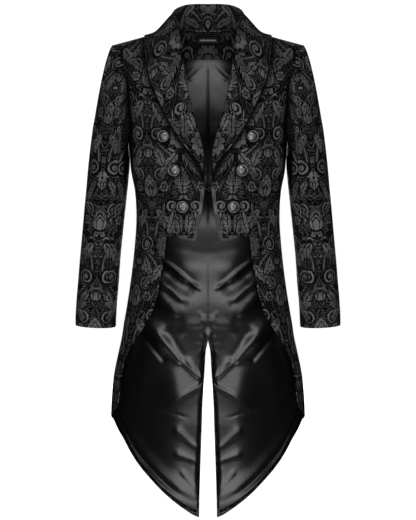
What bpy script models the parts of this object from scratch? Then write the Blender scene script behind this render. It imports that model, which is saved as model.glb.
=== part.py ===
"""Tailcoat, filled out as it is worn, with no wearer inside.

The wearer's shoulders carry it: the origin is the middle of the neck at shoulder height, +Z is up and the
fronts face -Y. Lengths in the tables are millimetres and angles are degrees; the model itself is in metres.

The body is one smooth surface that every panel is cut from. A place on it has a turn, from 0 at the centre
back to 180 at the centre front, and a level: below the armpit the level is the height above it (negative, in
metres), and above the armpit it runs from 0 to 1 over the chest or back to the shoulder seam and neck edge.
"""

import math

import bmesh
import bpy
import numpy as np
from mathutils import Matrix, Vector
from mathutils.bvhtree import BVHTree

MM = 0.001

# Cloth
SHELL = 1.7 * MM
LINING = 1.0 * MM
COLLAR = 2.0 * MM
LABEL = 0.8 * MM
SEAM_GAP = 0.3 * MM
LAYER_GAP = 2.0 * MM

# Body
ARMPIT = -215 * MM
SQUARE = 2 / 2.35
NECK_HALF_WIDTH = 72 * MM
NECK_BACK_Y = 76 * MM
NECK_BACK_Z = 14 * MM
NECK_POINT = (72 * MM, 8 * MM, 18 * MM)
SHOULDER_TIP = (211.5 * MM, 2 * MM, -20 * MM)
FRONT_SEAM_TURN = 108.0
BACK_SEAM_TURN = 66.0
FRONT_NECK_TURN = 150.0
BACK_NECK_TURN = 30.0
ARMHOLE_DIP = 17 * MM
WAIST_SEAM = -441 * MM
VENT_TOP = -700 * MM
TAIL_TIP = -1127 * MM
SKIRT_FOOT = -834 * MM
LINING_MARGIN = 7 * MM
LINING_RISE = 9 * MM
SEAM_LEVEL = 0.9988
BACK_COLUMNS = (0, 0.115, 0.23, 0.345, 0.4545, 0.56, 0.67, 0.78, 0.89, 1)
FACING_DROP = -44 * MM

RINGS = np.array([
    # height, half_width, front_depth, back_depth, centre_y
    (-1130, 216, 86, 129, 32),
    (-1000, 220, 90, 130, 29),
    (-900, 222, 96, 132, 25),
    (-835, 221.5, 104, 134, 20),
    (-775, 217, 112, 136, 15),
    (-706, 204.5, 118, 138, 10),
    (-635, 189, 122, 138, 6),
    (-570, 177.5, 123, 131, 2),
    (-500, 168, 121, 118, 0),
    (-455, 163.5, 118, 106, 0),
    (-420, 161, 115, 100, 0),
    (-380, 161, 115, 101, 0),
    (-342, 164, 117, 107, 0),
    (-300, 172, 121, 117, 0),
    (-250, 175.5, 122.5, 126, 0),
    (-215, 178, 122, 128, 0),
])

SIDE_BACK_SEAM = np.array([
    # height, turn
    (-1130, 46),
    (-800, 46),
    (-600, 47),
    (-450, 48),
    (-380, 50.5),
    (-300, 57),
    (-215, 66),
])

CUTAWAY = np.array([
    # height, turn of the skirt's and tail's edge
    (-1128, 3.9),
    (-1125, 5.7),
    (-1110, 11.3),
    (-1085, 19.5),
    (-1059, 27.2),
    (-1034, 34.0),
    (-1008, 41.4),
    (-981, 48.5),
    (-954, 54.7),
    (-927, 60.6),
    (-900, 67.7),
    (-877, 74.5),
    (-864, 84.0),
    (-854, 95.0),
    (-844, 104.7),
    (-832, 112.0),
    (-814, 116.2),
    (-778, 117.0),
    (-743, 117.4),
    (-712, 119.0),
    (-682, 125.3),
    (-636, 135.8),
    (-602, 141.8),
    (-570, 144.5),
    (-536, 146.0),
    (-496, 147.9),
    (-441, 149.5),
])

FRONT_EDGE = np.array([
    # height, half of the opening between the fronts
    (-452, 33.0),
    (-446, 26.0),
    (-429, 21.0),
    (-409, 17.0),
    (-389, 13.4),
    (-362, 9.5),
    (-340, 7.8),
    (-316, 8.2),
    (-291, 9.8),
    (-266, 13.0),
    (-242, 17.5),
    (-224, 22.0),
    (-198, 29.0),
    (-175, 35.3),
    (-153, 41.5),
    (-129, 47.0),
    (-100, 51.5),
    (-56, 58.5),
    (-19, 64.5),
    (22, 72.0),
])

VENT_EDGE = np.array([
    # height, half of the gap between the tails
    (-1130, 21.2),
    (-1061, 19.8),
    (-988, 17.4),
    (-915, 14.8),
    (-843, 12.2),
    (-795, 9.3),
    (-758, 7.2),
    (-722, 4.6),
    (-700, 0.15),
    (-640, 0.15),
])

FRONT_HEM = np.array([
    # distance from the centre, how far the front hem drops below the waist seam
    (20, 9.5),
    (42, 8.0),
    (60, 4.0),
    (77, 0.5),
    (92, 0.0),
    (120, 0.0),
])

BODY_FOLDS = np.array([
    # turn and height of each end, half width, depth outwards
    (8, -1120, 16, -760, 36, 4.5),
    (42, -1040, 38, -760, 48, -2.4),
    (74, -940, 68, -700, 48, 3.0),
    (100, -880, 92, -640, 36, -3.0),
    (44, -505, 6, -575, 22, -3.0),
    (50, -590, 14, -690, 24, -3.0),
])

SLEEVE_RINGS = np.array([
    # height, centre_x, centre_y, half_width, half_depth
    (-660, 252.4, -22, 45.4, 51),
    (-646, 251.8, -21, 45.4, 51),
    (-590, 249.2, -16, 45.4, 52),
    (-545, 245.4, -11, 45.7, 53.5),
    (-500, 242.3, -6, 45.2, 55),
    (-432, 236.1, 1, 45.4, 58),
    (-365, 229.3, 3, 46.0, 61),
    (-300, 222.3, 2, 46.0, 64),
])
SLEEVE_TOP_RING = -300 * MM
CUFF = -645 * MM
CUFF_TILT = 0.05
UPPER_SLEEVE_TURN = 118.0

NECK_STATIONS = np.array([
    # turn at the neck edge, roll x y z, belly x y z, leaf edge x y z
    (0, 0, 86, 80, 0, 108, 34, 0, 101, -6),
    (10, 35, 79, 79, 58, 112, 34, 66, 95, -5),
    (20, 57, 55, 71, 106, 84, 38, 116, 62, -6),
    (30, 71, 17, 57, 107, 14, 6, 139, 6, 0),
])
LAPEL_STATIONS = np.array([
    # height on the front edge, roll x z, stand-off of the roll, leaf edge x z, lift of the belly
    (8, 70.0, 42, 18, 138.5, -14, 8),
    (-8, 66.5, 18, 8, 135.5, -36, 9),
    (-26, 61.5, -9, 3, 129.5, -66, 9),
    (-48, 56.0, -40, 1, 123.7, -95, 7),
    (-82, 50.0, -78, 1, 113.7, -122, 6),
    (-120, 43.8, -118, 1, 101.0, -153, 6),
    (-157, 36.0, -156, 1, 86.0, -183, 6),
    (-193, 25.8, -193, 1, 68.0, -215, 5),
    (-231, 15.6, -231, 1, 45.0, -249, 4),
    (-267, 8.2, -267, 1, 24.5, -275, 3),
    (-297, 4.4, -297, 1, 13.0, -299, 2),
    (-318, 3.0, -318, 1, 9.5, -318, 1),
])
NECK_AXIS_Y = 10 * MM
ROLL_RADIUS_NECK = 4.0 * MM
ROLL_RADIUS_LAPEL = 3.0 * MM
ROLL_RADIUS_TIP = 2.2 * MM
LEAF_LIFT = 3.0 * MM
FOOT_LIFT = 1.9 * MM

BUTTONS = np.array([
    # distance from the centre, height
    (95.7, -223.7),
    (72.8, -297.1),
    (54.6, -376.3),
])
BUTTON_PROFILE = (
    # radius, height over the cloth
    (0, 8.6),
    (4.6, 8.1),
    (8.2, 6.9),
    (10.6, 5.0),
    (12.2, 5.0),
    (12.8, 4.0),
    (11.6, 3.1),
    (3.0, 2.7),
    (3.0, 0.35),
    (0, 0.35),
)
BUTTON_SEGMENTS = 12

CLOSURE = -338 * MM
EYE_RADIUS = 3.6 * MM
WIRE_RADIUS = 0.55 * MM
WIRE_SIDES = 6
WIRE_PLANE_NORMAL = {"eye": (0.0, 1.0, 0.0), "hook": (0.0, 0.0, 1.0)}

LABEL_HALF_WIDTH = 26 * MM
LABEL_TOP = 9 * MM
LABEL_BOTTOM = -6 * MM

BLACK_BROCADE = ((0.012, 0.012, 0.013), 0.62, 0.0)
BLACK_SATIN = ((0.010, 0.010, 0.011), 0.30, 0.0)
OLD_SILVER = ((0.32, 0.32, 0.33), 0.35, 1.0)
DARK_WIRE = ((0.03, 0.03, 0.035), 0.40, 1.0)


def spline(table, at):
    """Smooth curve through a table's rows: cubic pieces whose slope at a row is the mean of its two sides."""
    knots, values = table[:, 0], table[:, 1:]
    at = np.asarray(at, float)
    slopes = np.gradient(values, knots, axis=0)
    i = np.clip(np.searchsorted(knots, at) - 1, 0, len(knots) - 2)
    span = (knots[i + 1] - knots[i])[..., None]
    u = np.clip((at[..., None] - knots[i][..., None]) / span, 0, 1)
    start, end = values[i], values[i + 1]
    rise = (2 * u - 3) * u * u
    curve = start * (1 + rise) - end * rise
    return curve + span * (slopes[i] * u * (u - 1) ** 2 + slopes[i + 1] * u * u * (u - 1))


def by_height(table, height):
    """A millimetre table read at a height in metres, in metres."""
    return spline(table, np.asarray(height) / MM) * MM


def turn_table(table, height):
    """A table of angles read at a height in metres."""
    return spline(table, np.asarray(height) / MM)[..., 0]


def blend(a, b, share):
    return a + (b - a) * share


def smooth_step(x):
    x = np.clip(x, 0, 1)
    return x * x * (3 - 2 * x)


def fold_depth(turn, height):
    """How far the largest folds lift the cloth: each is a soft ridge or trough along a line."""
    mm_per_degree = 3.3
    across, up = np.asarray(turn) * mm_per_degree, np.asarray(height) / MM
    depth = np.zeros(np.broadcast(across, up).shape)
    for turn_a, height_a, turn_b, height_b, width, lift in BODY_FOLDS:
        start = np.array((turn_a * mm_per_degree, height_a))
        line = np.array((turn_b * mm_per_degree, height_b)) - start
        along = ((across - start[0]) * line[0] + (up - start[1]) * line[1]) / (line @ line)
        nearest = np.clip(along, 0, 1)
        gap = np.hypot(across - start[0] - nearest * line[0], up - start[1] - nearest * line[1])
        depth = depth + lift * np.exp(-((gap / width) ** 2)) * smooth_step(2.2 * (1 - abs(2 * nearest - 1)) + 0.2)
    return depth * MM


def ring(turn, height):
    """Body below the armpit: squared ovals whose width, front and back depths vary with height."""
    half, front, back, centre = np.moveaxis(by_height(RINGS, height), -1, 0)
    sine, cosine = np.sin(np.radians(turn)), np.cos(np.radians(turn))
    out = fold_depth(np.abs(turn), height)
    x = (half + out) * np.sign(sine) * np.abs(sine) ** SQUARE
    depth = np.where(cosine > 0, back, front) + out
    y = centre + depth * np.sign(cosine) * np.abs(cosine) ** SQUARE
    return np.stack(np.broadcast_arrays(x, y, height), -1)


def top_line(turn):
    """Shoulder seam, and the neck edge of the back, at each turn."""
    turn = np.asarray(turn, float)[..., None]
    tip, neck = np.array(SHOULDER_TIP), np.array(NECK_POINT)
    front = blend(tip, neck, (turn - FRONT_SEAM_TURN) / (FRONT_NECK_TURN - FRONT_SEAM_TURN))
    back = blend(tip, neck, (BACK_SEAM_TURN - turn) / (BACK_SEAM_TURN - BACK_NECK_TURN))
    quarter = np.radians(90 * turn[..., 0] / BACK_NECK_TURN)
    neck_y = NECK_POINT[1] + (NECK_BACK_Y - NECK_POINT[1]) * np.cos(quarter)
    neck_z = NECK_POINT[2] + (NECK_BACK_Z - NECK_POINT[2]) * np.cos(quarter)
    neck_edge = np.stack([NECK_HALF_WIDTH * np.sin(quarter), neck_y, neck_z], -1)
    return np.where(turn > 90, front, np.where(turn > BACK_NECK_TURN, back, neck_edge))


def arch_power(turn):
    """How square the arch over the shoulder is: fuller beside the armhole than beside the neck."""
    front = (turn - FRONT_SEAM_TURN) / (FRONT_NECK_TURN - FRONT_SEAM_TURN)
    back = (BACK_SEAM_TURN - turn) / (BACK_SEAM_TURN - BACK_NECK_TURN)
    return blend(3.0, 2.2, np.clip(np.where(turn > 90, front, back), 0, 1))


def arch(turn, rise):
    """Body above the armpit: from the armpit's oval over the chest or back to the top line."""
    base, top = ring(turn, np.full(np.shape(turn), ARMPIT)), top_line(turn)
    quarter = np.radians(90 * np.clip(rise, 0, 1))
    up = np.sin(quarter) ** (2 / arch_power(turn))
    x = blend(base[..., 0], top[..., 0], 0.25 * up + 0.75 * up**5)
    y = blend(top[..., 1], base[..., 1], np.cos(quarter))
    return np.stack([x, y, blend(base[..., 2], top[..., 2], up)], -1)


def body(turn, level):
    """Outer surface of the coat's body."""
    turn, level = np.broadcast_arrays(np.asarray(turn, float), np.asarray(level, float))
    low = ring(turn, ARMPIT + np.minimum(level, 0))
    return np.where((level > 0)[..., None], arch(turn, level), low)


def body_normal(turn, level):
    """Outward direction of the body's surface, from its slopes round and up."""
    turn, level = np.broadcast_arrays(np.asarray(turn, float), np.asarray(level, float))
    round_step, up_step = 0.3, 0.002
    upper = np.minimum(level + up_step, 0.999)
    around = body(turn + round_step, level) - body(turn - round_step, level)
    upward = body(turn, upper) - body(turn, upper - 2 * up_step)
    normal = np.cross(upward, around)
    return normal / np.linalg.norm(normal, axis=-1, keepdims=True)


def level_at(turn, height):
    """Level above the armpit whose point on that turn's arch has the height."""
    share = (height - ARMPIT) / (top_line(turn)[..., 2] - ARMPIT)
    return np.degrees(np.arcsin(np.clip(share, 0, 1) ** (arch_power(turn) / 2))) / 90


def turn_where(wanted_x, level, low, high):
    """Turn between low and high where the body is wanted_x(height) from the centre, by halving."""
    low, high = np.full(np.shape(level), float(low)), np.full(np.shape(level), float(high))
    for _ in range(45):
        middle = (low + high) / 2
        place = body(middle, level)
        too_wide = place[..., 0] > wanted_x(place[..., 2])
        rising = body(high, level)[..., 0] > body(low, level)[..., 0]
        low = np.where(too_wide == rising, low, middle)
        high = np.where(too_wide == rising, middle, high)
    return (low + high) / 2


def height_of(level):
    return ARMPIT + np.minimum(level, 0)


def front_edge_turn(level):
    """Turn of the forepart's inner edge: the fold of the lapel, then the open front."""
    edge = turn_where(lambda z: by_height(FRONT_EDGE, z)[..., 0], level, FRONT_NECK_TURN, 179.9)
    return np.where(np.asarray(level) >= 1, FRONT_NECK_TURN, edge)


def vent_turn(level, extra=0.0):
    """Turn of the centre back seam, and of the tail's vent edge below it."""
    return turn_where(lambda z: by_height(VENT_EDGE, z)[..., 0] + extra, level, 0, 30)


def cutaway_turn(level):
    return turn_table(CUTAWAY, height_of(level))


def side_back_turn(level):
    return turn_table(SIDE_BACK_SEAM, height_of(level))


def edge_height(turn):
    """Height of the cut-away edge at each turn."""
    return spline(CUTAWAY[:, ::-1], turn)[..., 0] * MM


def degrees_for(distance, turn, level):
    """How many degrees of turn a distance along the cloth takes there."""
    step = 0.4
    length = np.linalg.norm(body(turn + step, level) - body(turn - step, level), axis=-1)
    return distance * 2 * step / length


def panel(start, end, foot, head, columns, rows, gaps=(SEAM_GAP / 2, SEAM_GAP / 2)):
    """Grid below the armpit: columns run between two edges and rows run from a shaped foot to a level head."""
    column, share = np.asarray(columns)[None, :], np.linspace(0, 1, rows)[:, None]
    levels = np.broadcast_to(blend(-900 * MM, head, share) - ARMPIT, (rows, column.shape[1]))
    for _ in range(8):
        low, high = start(levels), end(levels)
        low = low + degrees_for(gaps[0], low, levels)
        high = high - degrees_for(gaps[1], high, levels)
        turns = blend(low, high, column)
        levels = blend(foot(turns[:1]), head, share) - ARMPIT
    return turns, levels


def with_arch(turns, levels, start, end, columns, rows, last, gaps=(SEAM_GAP / 2, SEAM_GAP / 2)):
    """The same grid carried on over the chest or the back, up to its last level."""
    upper = np.broadcast_to(np.linspace(0, last, rows + 1)[1:, None], (rows, len(columns)))
    low, high = start(upper), end(upper)
    low = low + degrees_for(gaps[0], low, upper)
    high = high - degrees_for(gaps[1], high, upper)
    added = blend(low, high, np.asarray(columns)[None, :])
    return np.concatenate([turns, added]), np.concatenate([levels, upper])


def steady(turn):
    """An edge that keeps one turn at every level."""
    return lambda levels: np.full(np.shape(levels), float(turn))


def material(name, look):
    found = bpy.data.materials.get(name)
    if found:
        return found
    colour, roughness, metallic = look
    made = bpy.data.materials.new(name)
    made.use_nodes = True
    shader = made.node_tree.nodes["Principled BSDF"]
    shader.inputs["Base Color"].default_value = (*colour, 1)
    shader.inputs["Roughness"].default_value = roughness
    shader.inputs["Metallic"].default_value = metallic
    return made


def add_mesh(name, points, faces, finish, look):
    """One named object from points and faces, with its faces turned outwards."""
    mesh = bpy.data.meshes.new(name)
    mesh.from_pydata(points.tolist(), [], faces)
    shape = bmesh.new()
    shape.from_mesh(mesh)
    bmesh.ops.recalc_face_normals(shape, faces=shape.faces)
    shape.to_mesh(mesh)
    shape.free()
    mesh.materials.append(material(finish, look))
    mesh.shade_smooth()
    mesh.set_sharp_from_angle(angle=math.radians(50))
    made = bpy.data.objects.new(name, mesh)
    garment.objects.link(made)
    return made


def wall(name, outer, inner, finish, look):
    """Closed wall between two grids of points: its outer face, its inner face and the rim round them."""
    rows, columns = outer.shape[:2]
    number = np.arange(rows * columns).reshape(rows, columns)
    back = number + rows * columns
    faces = []
    for grid in (number, back):
        quads = np.stack([grid[:-1, :-1], grid[1:, :-1], grid[1:, 1:], grid[:-1, 1:]], -1).reshape(-1, 4)
        faces += (quads if grid is number else quads[:, ::-1]).tolist()
    rim = np.concatenate([number[0, :-1], number[:-1, -1], number[-1, :0:-1], number[:0:-1, 0]])
    following = np.roll(rim, -1)
    faces += np.stack([rim, following, following + rows * columns, rim + rows * columns], -1).tolist()
    points = np.concatenate([outer.reshape(-1, 3), inner.reshape(-1, 3)])
    add_mesh(name, points, faces, finish, look)


def pair(name, outer, inner, finish, look):
    """A piece and its mirror twin: the wearer's left is +X."""
    for side, sign in (("left", 1), ("right", -1)):
        flip = np.array((sign, 1, 1))
        wall(f"{name}_{side}", outer * flip, inner * flip, finish, look)


def cloth_panel(name, grid, depth, thickness, finish, look):
    """Pair of panels cut from the body: a wall from one depth under its surface to the next."""
    turns, levels = grid
    surface, normal = body(turns, levels), body_normal(turns, levels)
    pair(name, surface - normal * depth, surface - normal * (depth + thickness), finish, look)


def build_forepart():
    """Front from the waist to the shoulder: side seam and armhole outside, lapel fold and front edge inside."""
    columns = np.linspace(0, 1, 12)
    gaps = (SEAM_GAP / 2, 0)

    def foot(turns):
        reach = body(turns, WAIST_SEAM - ARMPIT)[..., 0]
        return WAIST_SEAM + SEAM_GAP / 2 - by_height(FRONT_HEM, reach)[..., 0]

    grid = panel(steady(FRONT_SEAM_TURN), front_edge_turn, foot, ARMPIT, columns, 10, gaps)
    grid = with_arch(*grid, steady(FRONT_SEAM_TURN), front_edge_turn, columns, 9, SEAM_LEVEL, gaps)
    cloth_panel("front", grid, 0, SHELL, "brocade", BLACK_BROCADE)


def build_side():
    """Panel under the arm, from the foot of the armhole down to the tail's side."""
    turns, levels = panel(side_back_turn, steady(FRONT_SEAM_TURN), edge_height, ARMPIT, np.linspace(0, 1, 6), 22)
    share = (turns - turns[:, :1]) / (turns[:, -1:] - turns[:, :1])
    levels = levels - ARMHOLE_DIP * np.sin(math.pi * share) * np.clip(1 + levels / (80 * MM), 0, 1)
    cloth_panel("side", (turns, levels), 0, SHELL, "brocade", BLACK_BROCADE)


def build_skirt():
    """Front of the skirt: hung from the waist seam and cut away towards the tail."""
    foot = lambda turns: np.full(turns.shape, SKIRT_FOOT)
    head = WAIST_SEAM - SEAM_GAP / 2
    grid = panel(steady(FRONT_SEAM_TURN), cutaway_turn, foot, head, np.linspace(0, 1, 6), 16, (SEAM_GAP / 2, 0))
    cloth_panel("skirt", grid, 0, SHELL, "brocade", BLACK_BROCADE)


def build_back():
    """Back in one length from the neck and shoulder to the tip of the tail, open at the vent."""
    gaps = (0, SEAM_GAP / 2)
    seam = lambda levels: np.where(levels > 0, BACK_SEAM_TURN, side_back_turn(levels))
    grid = panel(vent_turn, seam, edge_height, ARMPIT, BACK_COLUMNS, 25, gaps)
    grid = with_arch(*grid, vent_turn, seam, BACK_COLUMNS, 10, SEAM_LEVEL, gaps)
    cloth_panel("back", grid, 0, SHELL, "brocade", BLACK_BROCADE)


def build_back_lining():
    """Satin inside the back, from the neck facing to just short of the tail's tip and edges."""
    columns = np.linspace(0, 1, 8)
    vent = lambda levels: vent_turn(levels, 4 * MM * smooth_step((VENT_TOP - height_of(levels)) / (30 * MM)))
    foot = lambda turns: edge_height(turns) + LINING_RISE + 14 * MM * np.exp(-turns / 8)
    turns, levels = panel(vent, side_back_turn, foot, ARMPIT, columns, 22)
    top = blend(turns[-1:, :1], BACK_SEAM_TURN - 3.0, columns[None, :])
    share = np.linspace(0, 1, 8)[1:, None]
    ceiling = level_at(top, FACING_DROP - SEAM_GAP)
    turns = np.concatenate([turns, blend(turns[-1:], top, share)])
    levels = np.concatenate([levels, ceiling * share])
    cloth_panel("back_lining", (turns, levels), SHELL + LAYER_GAP, LINING, "satin", BLACK_SATIN)


def build_side_lining():
    """Satin inside the tail's side, below the waist."""
    foot = lambda turns: edge_height(turns) + LINING_RISE
    grid = panel(side_back_turn, steady(FRONT_SEAM_TURN), foot, WAIST_SEAM, np.linspace(0, 1, 8), 17)
    cloth_panel("side_lining", grid, SHELL + LAYER_GAP, LINING, "satin", BLACK_SATIN)


def build_skirt_lining():
    """Satin inside the front of the skirt, just short of the cut-away edge."""
    foot = lambda turns: np.full(turns.shape, SKIRT_FOOT + 22 * MM)
    gaps = (SEAM_GAP / 2, LINING_MARGIN)
    grid = panel(steady(FRONT_SEAM_TURN), cutaway_turn, foot, WAIST_SEAM - SEAM_GAP, np.linspace(0, 1, 6), 12, gaps)
    cloth_panel("skirt_lining", grid, SHELL + LAYER_GAP, LINING, "satin", BLACK_SATIN)


def build_neck_facing():
    """Brocade facing inside the back, between the neck edge and the lining's straight top."""
    turns = np.linspace(0.05, 30.0, 8)[None, :]
    share = np.linspace(0, 1, 6)[:, None]
    levels = blend(level_at(turns, FACING_DROP + SEAM_GAP), 0.985, share)
    grid = (np.broadcast_to(turns, levels.shape), levels)
    cloth_panel("neck_facing", grid, SHELL + LAYER_GAP, LINING, "brocade", BLACK_BROCADE)


def build_label():
    """Plain woven label on the neck facing, under the collar seam."""
    across_label = np.linspace(-1, 1, 8)
    height = np.linspace(LABEL_BOTTOM, LABEL_TOP, 4)[:, None]
    reach = turn_where(lambda z: LABEL_HALF_WIDTH, np.array([0.7]), 0, 30)
    turns = np.broadcast_to(np.abs(across_label) * reach, (4, 8))
    levels = level_at(turns, np.broadcast_to(height, turns.shape))
    surface, normal = body(turns, levels), body_normal(turns, levels)
    flip = np.stack([np.sign(across_label), np.ones(8), np.ones(8)], -1)[None]
    depth = SHELL + LAYER_GAP + LINING + 0.9 * MM
    wall("label", (surface - normal * depth) * flip, (surface - normal * (depth + LABEL)) * flip, "label", BLACK_SATIN)


def armhole_line(samples=181):
    """Armhole from the shoulder tip down the front, under the arm and up the back: points and normals."""
    down = np.linspace(1, 0, samples)
    under = np.linspace(FRONT_SEAM_TURN, BACK_SEAM_TURN, samples)
    dip = -ARMHOLE_DIP * np.sin(math.pi * (FRONT_SEAM_TURN - under) / (FRONT_SEAM_TURN - BACK_SEAM_TURN))
    turns = np.concatenate([np.full(samples, FRONT_SEAM_TURN), under[1:], np.full(samples - 1, BACK_SEAM_TURN)])
    levels = np.concatenate([down, dip[1:], down[::-1][1:]])
    points = body(turns, levels)
    steps = np.linalg.norm(np.diff(points, axis=0), axis=1)
    along = np.concatenate([[0], np.cumsum(steps)]) / steps.sum()
    degrees = np.arange(361) / 360
    normals = body_normal(turns, levels)
    points, normals = (np.stack([np.interp(degrees, along, v[:, k]) for k in range(3)], -1) for v in (points, normals))
    reach = np.arange(-40, 41)
    weights = np.exp(-((reach / 16) ** 2))
    normals = sum(np.roll(normals[:360], shift, 0) * weight for shift, weight in zip(reach, weights))
    normals = normals / np.linalg.norm(normals, axis=1, keepdims=True)
    return points, np.concatenate([normals, normals[:1]])


def sleeve_ring(turn, height):
    """Sleeve below the armhole: ovals on a slanting centre line, turn 0 outside and 90 in front."""
    centre_x, centre_y, half_width, half_depth = np.moveaxis(by_height(SLEEVE_RINGS, height), -1, 0)
    sine, cosine = np.sin(np.radians(turn)), np.cos(np.radians(turn))
    across_x = half_width * np.sign(cosine) * np.abs(cosine) ** 0.92
    y = centre_y - half_depth * np.sign(sine) * np.abs(sine) ** 0.92
    return np.stack(np.broadcast_arrays(centre_x + across_x, y, height + CUFF_TILT * across_x), -1)


def sleeve(turn, level):
    """Sleeve surface: level 0 at the armhole, 1 at the first full ring and 2 at the cuff."""
    turn, level = np.broadcast_arrays(np.asarray(turn, float), np.asarray(level, float))
    height = blend(SLEEVE_TOP_RING, CUFF, np.clip(level - 1, 0, 1))
    lower = sleeve_ring(turn, height)
    start, proud = (np.stack([np.interp(turn % 360, np.arange(361), v[:, k]) for k in range(3)], -1) for v in ARMHOLE)
    sine, cosine = np.sin(np.radians(turn)), np.cos(np.radians(turn))
    under = ((1 - cosine) / 2) ** 3
    out_x = blend(0.9, 0.10, under)
    out_y = -0.35 * sine * (1 - under)
    out_z = blend(-0.25 - 0.45 * ((1 + cosine) / 2) ** 3, -1.0, under)
    out = np.stack([out_x, out_y, out_z], -1)
    out = out / np.linalg.norm(out, axis=-1, keepdims=True)
    start = start + proud * 0.9 * MM + out * 0.8 * MM
    end = sleeve_ring(turn, np.full(turn.shape, SLEEVE_TOP_RING))
    fall = (start - end)[..., 2:]
    axis = np.array((-0.10, 0.0, 1.0))
    u = np.clip(level, 0, 1)[..., None]
    near, far = start + out * 20 * MM, end + axis * fall * 0.45
    upper = (1 - u) ** 3 * start + 3 * u * (1 - u) ** 2 * near + 3 * u * u * (1 - u) * far + u**3 * end
    return np.where((level > 1)[..., None], lower, upper)


def build_sleeves():
    """Two-piece sleeves: a wide upper piece outside and a narrow under piece against the body."""
    cap = np.linspace(0, 1, 10) ** 1.15
    arm = np.linspace(1, 2, 9)[1:]
    levels = np.concatenate([cap, arm])
    turn_gap = 0.18
    pieces = (
        ("upper_sleeve", -UPPER_SLEEVE_TURN + turn_gap, UPPER_SLEEVE_TURN - turn_gap, 13),
        ("under_sleeve", UPPER_SLEEVE_TURN + turn_gap, 360 - UPPER_SLEEVE_TURN - turn_gap, 7),
    )
    for name, first, last, columns in pieces:
        turns = np.linspace(first, last, columns)[None, :]
        step, rise = 0.5, 0.004
        around = sleeve(turns + step, levels[:, None]) - sleeve(turns - step, levels[:, None])
        low, high = np.clip(levels - rise, 0, 2), np.clip(levels + rise, 0, 2)
        downward = sleeve(turns, high[:, None]) - sleeve(turns, low[:, None])
        normal = np.cross(downward, around)
        normal = normal / np.linalg.norm(normal, axis=-1, keepdims=True)
        outer = sleeve(turns, levels[:, None])
        facing = np.sum(normal[-1] * (outer[-1] - outer[-1].mean(0)), -1).mean()
        normal = normal * np.sign(facing)
        pair(name, outer, outer - normal * SHELL, "brocade", BLACK_BROCADE)


def body_skin():
    """Fine net of the body's right half, for laying the collar and the buttons on it."""
    half_turns = (np.linspace(0.01, BACK_SEAM_TURN, 60), np.linspace(FRONT_SEAM_TURN, 179.9, 60))
    levels = np.concatenate([np.linspace(-0.30, 0, 30), np.linspace(0.02, 0.998, 60)])[:, None]
    points, faces = [], []
    for turns in half_turns:
        grid = body(turns[None, :], levels)
        rows, columns = grid.shape[:2]
        number = np.arange(rows * columns).reshape(rows, columns) + sum(len(p) for p in points)
        quads = np.stack([number[:-1, :-1], number[1:, :-1], number[1:, 1:], number[:-1, 1:]], -1)
        points.append(grid.reshape(-1, 3))
        faces += quads.reshape(-1, 4).tolist()
    return BVHTree.FromPolygons(np.concatenate(points).tolist(), faces)


def front_place(x, z):
    """Point and outward normal of the front's cloth at that distance from the centre and height."""
    place, normal = SKIN.ray_cast(Vector((x, -1, z)), Vector((0, 1, 0)))[:2]
    if place is None:
        place, normal = SKIN.find_nearest(Vector((x, -0.05, z)))[:2]
    return np.array(place), np.array(normal if normal.y < 0 else -normal)


def over_body(point, least, most=1.0):
    """The point, moved along the cloth's normal until its height over the body is between two distances."""
    place, normal = SKIN.find_nearest(Vector(point))[:2]
    place, normal = np.array(place), np.array(normal)
    centre = np.array((0.6 * place[0], 0, min(place[2], -60 * MM)))
    normal = normal if normal @ (place - centre) > 0 else -normal
    height = (point - place) @ normal
    return point + normal * (min(max(height, least), most) - height)


def collar_controls():
    """Rows of the collar from the centre back to the lapel's foot: base, roll, belly and edge points."""
    rows = []
    for turn, *numbers in NECK_STATIONS:
        base = body(np.array(max(turn, 0.01)), np.array(1.0))
        roll, belly, edge = np.array(numbers).reshape(3, 3) * MM
        rows.append((base, roll, belly, over_body(edge, LEAF_LIFT, LEAF_LIFT)))
    for height, roll_x, roll_z, stand_off, edge_x, edge_z, lift in LAPEL_STATIONS * MM:
        turn_guess = np.linspace(-0.30, 0.999, 400)
        line = body(front_edge_turn(turn_guess), turn_guess)
        order = np.argsort(line[:, 2])
        base = np.array([np.interp(height, line[order, 2], line[order, k]) for k in range(3)])
        edge, edge_normal = front_place(edge_x, edge_z)
        edge = edge + edge_normal * LEAF_LIFT
        roll_y = base[1] + (stand_off - 3 * MM if stand_off > 2 * MM else -1 * MM)
        roll = np.array((roll_x, roll_y, roll_z))
        middle_x, middle_z = blend(roll_x, edge_x, 0.5), blend(roll_z, edge_z, 0.5)
        belly, belly_normal = front_place(middle_x, middle_z)
        rows.append((base, roll, belly + belly_normal * lift, edge))
    return np.array(rows)


def roll_radius(share):
    """Radius of the collar's fold, from the neck through the lapel to its foot."""
    lapel = blend(ROLL_RADIUS_NECK, ROLL_RADIUS_LAPEL, np.clip(share / 0.4, 0, 1))
    return blend(lapel, ROLL_RADIUS_TIP, smooth_step((share - 0.75) / 0.25))


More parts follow.
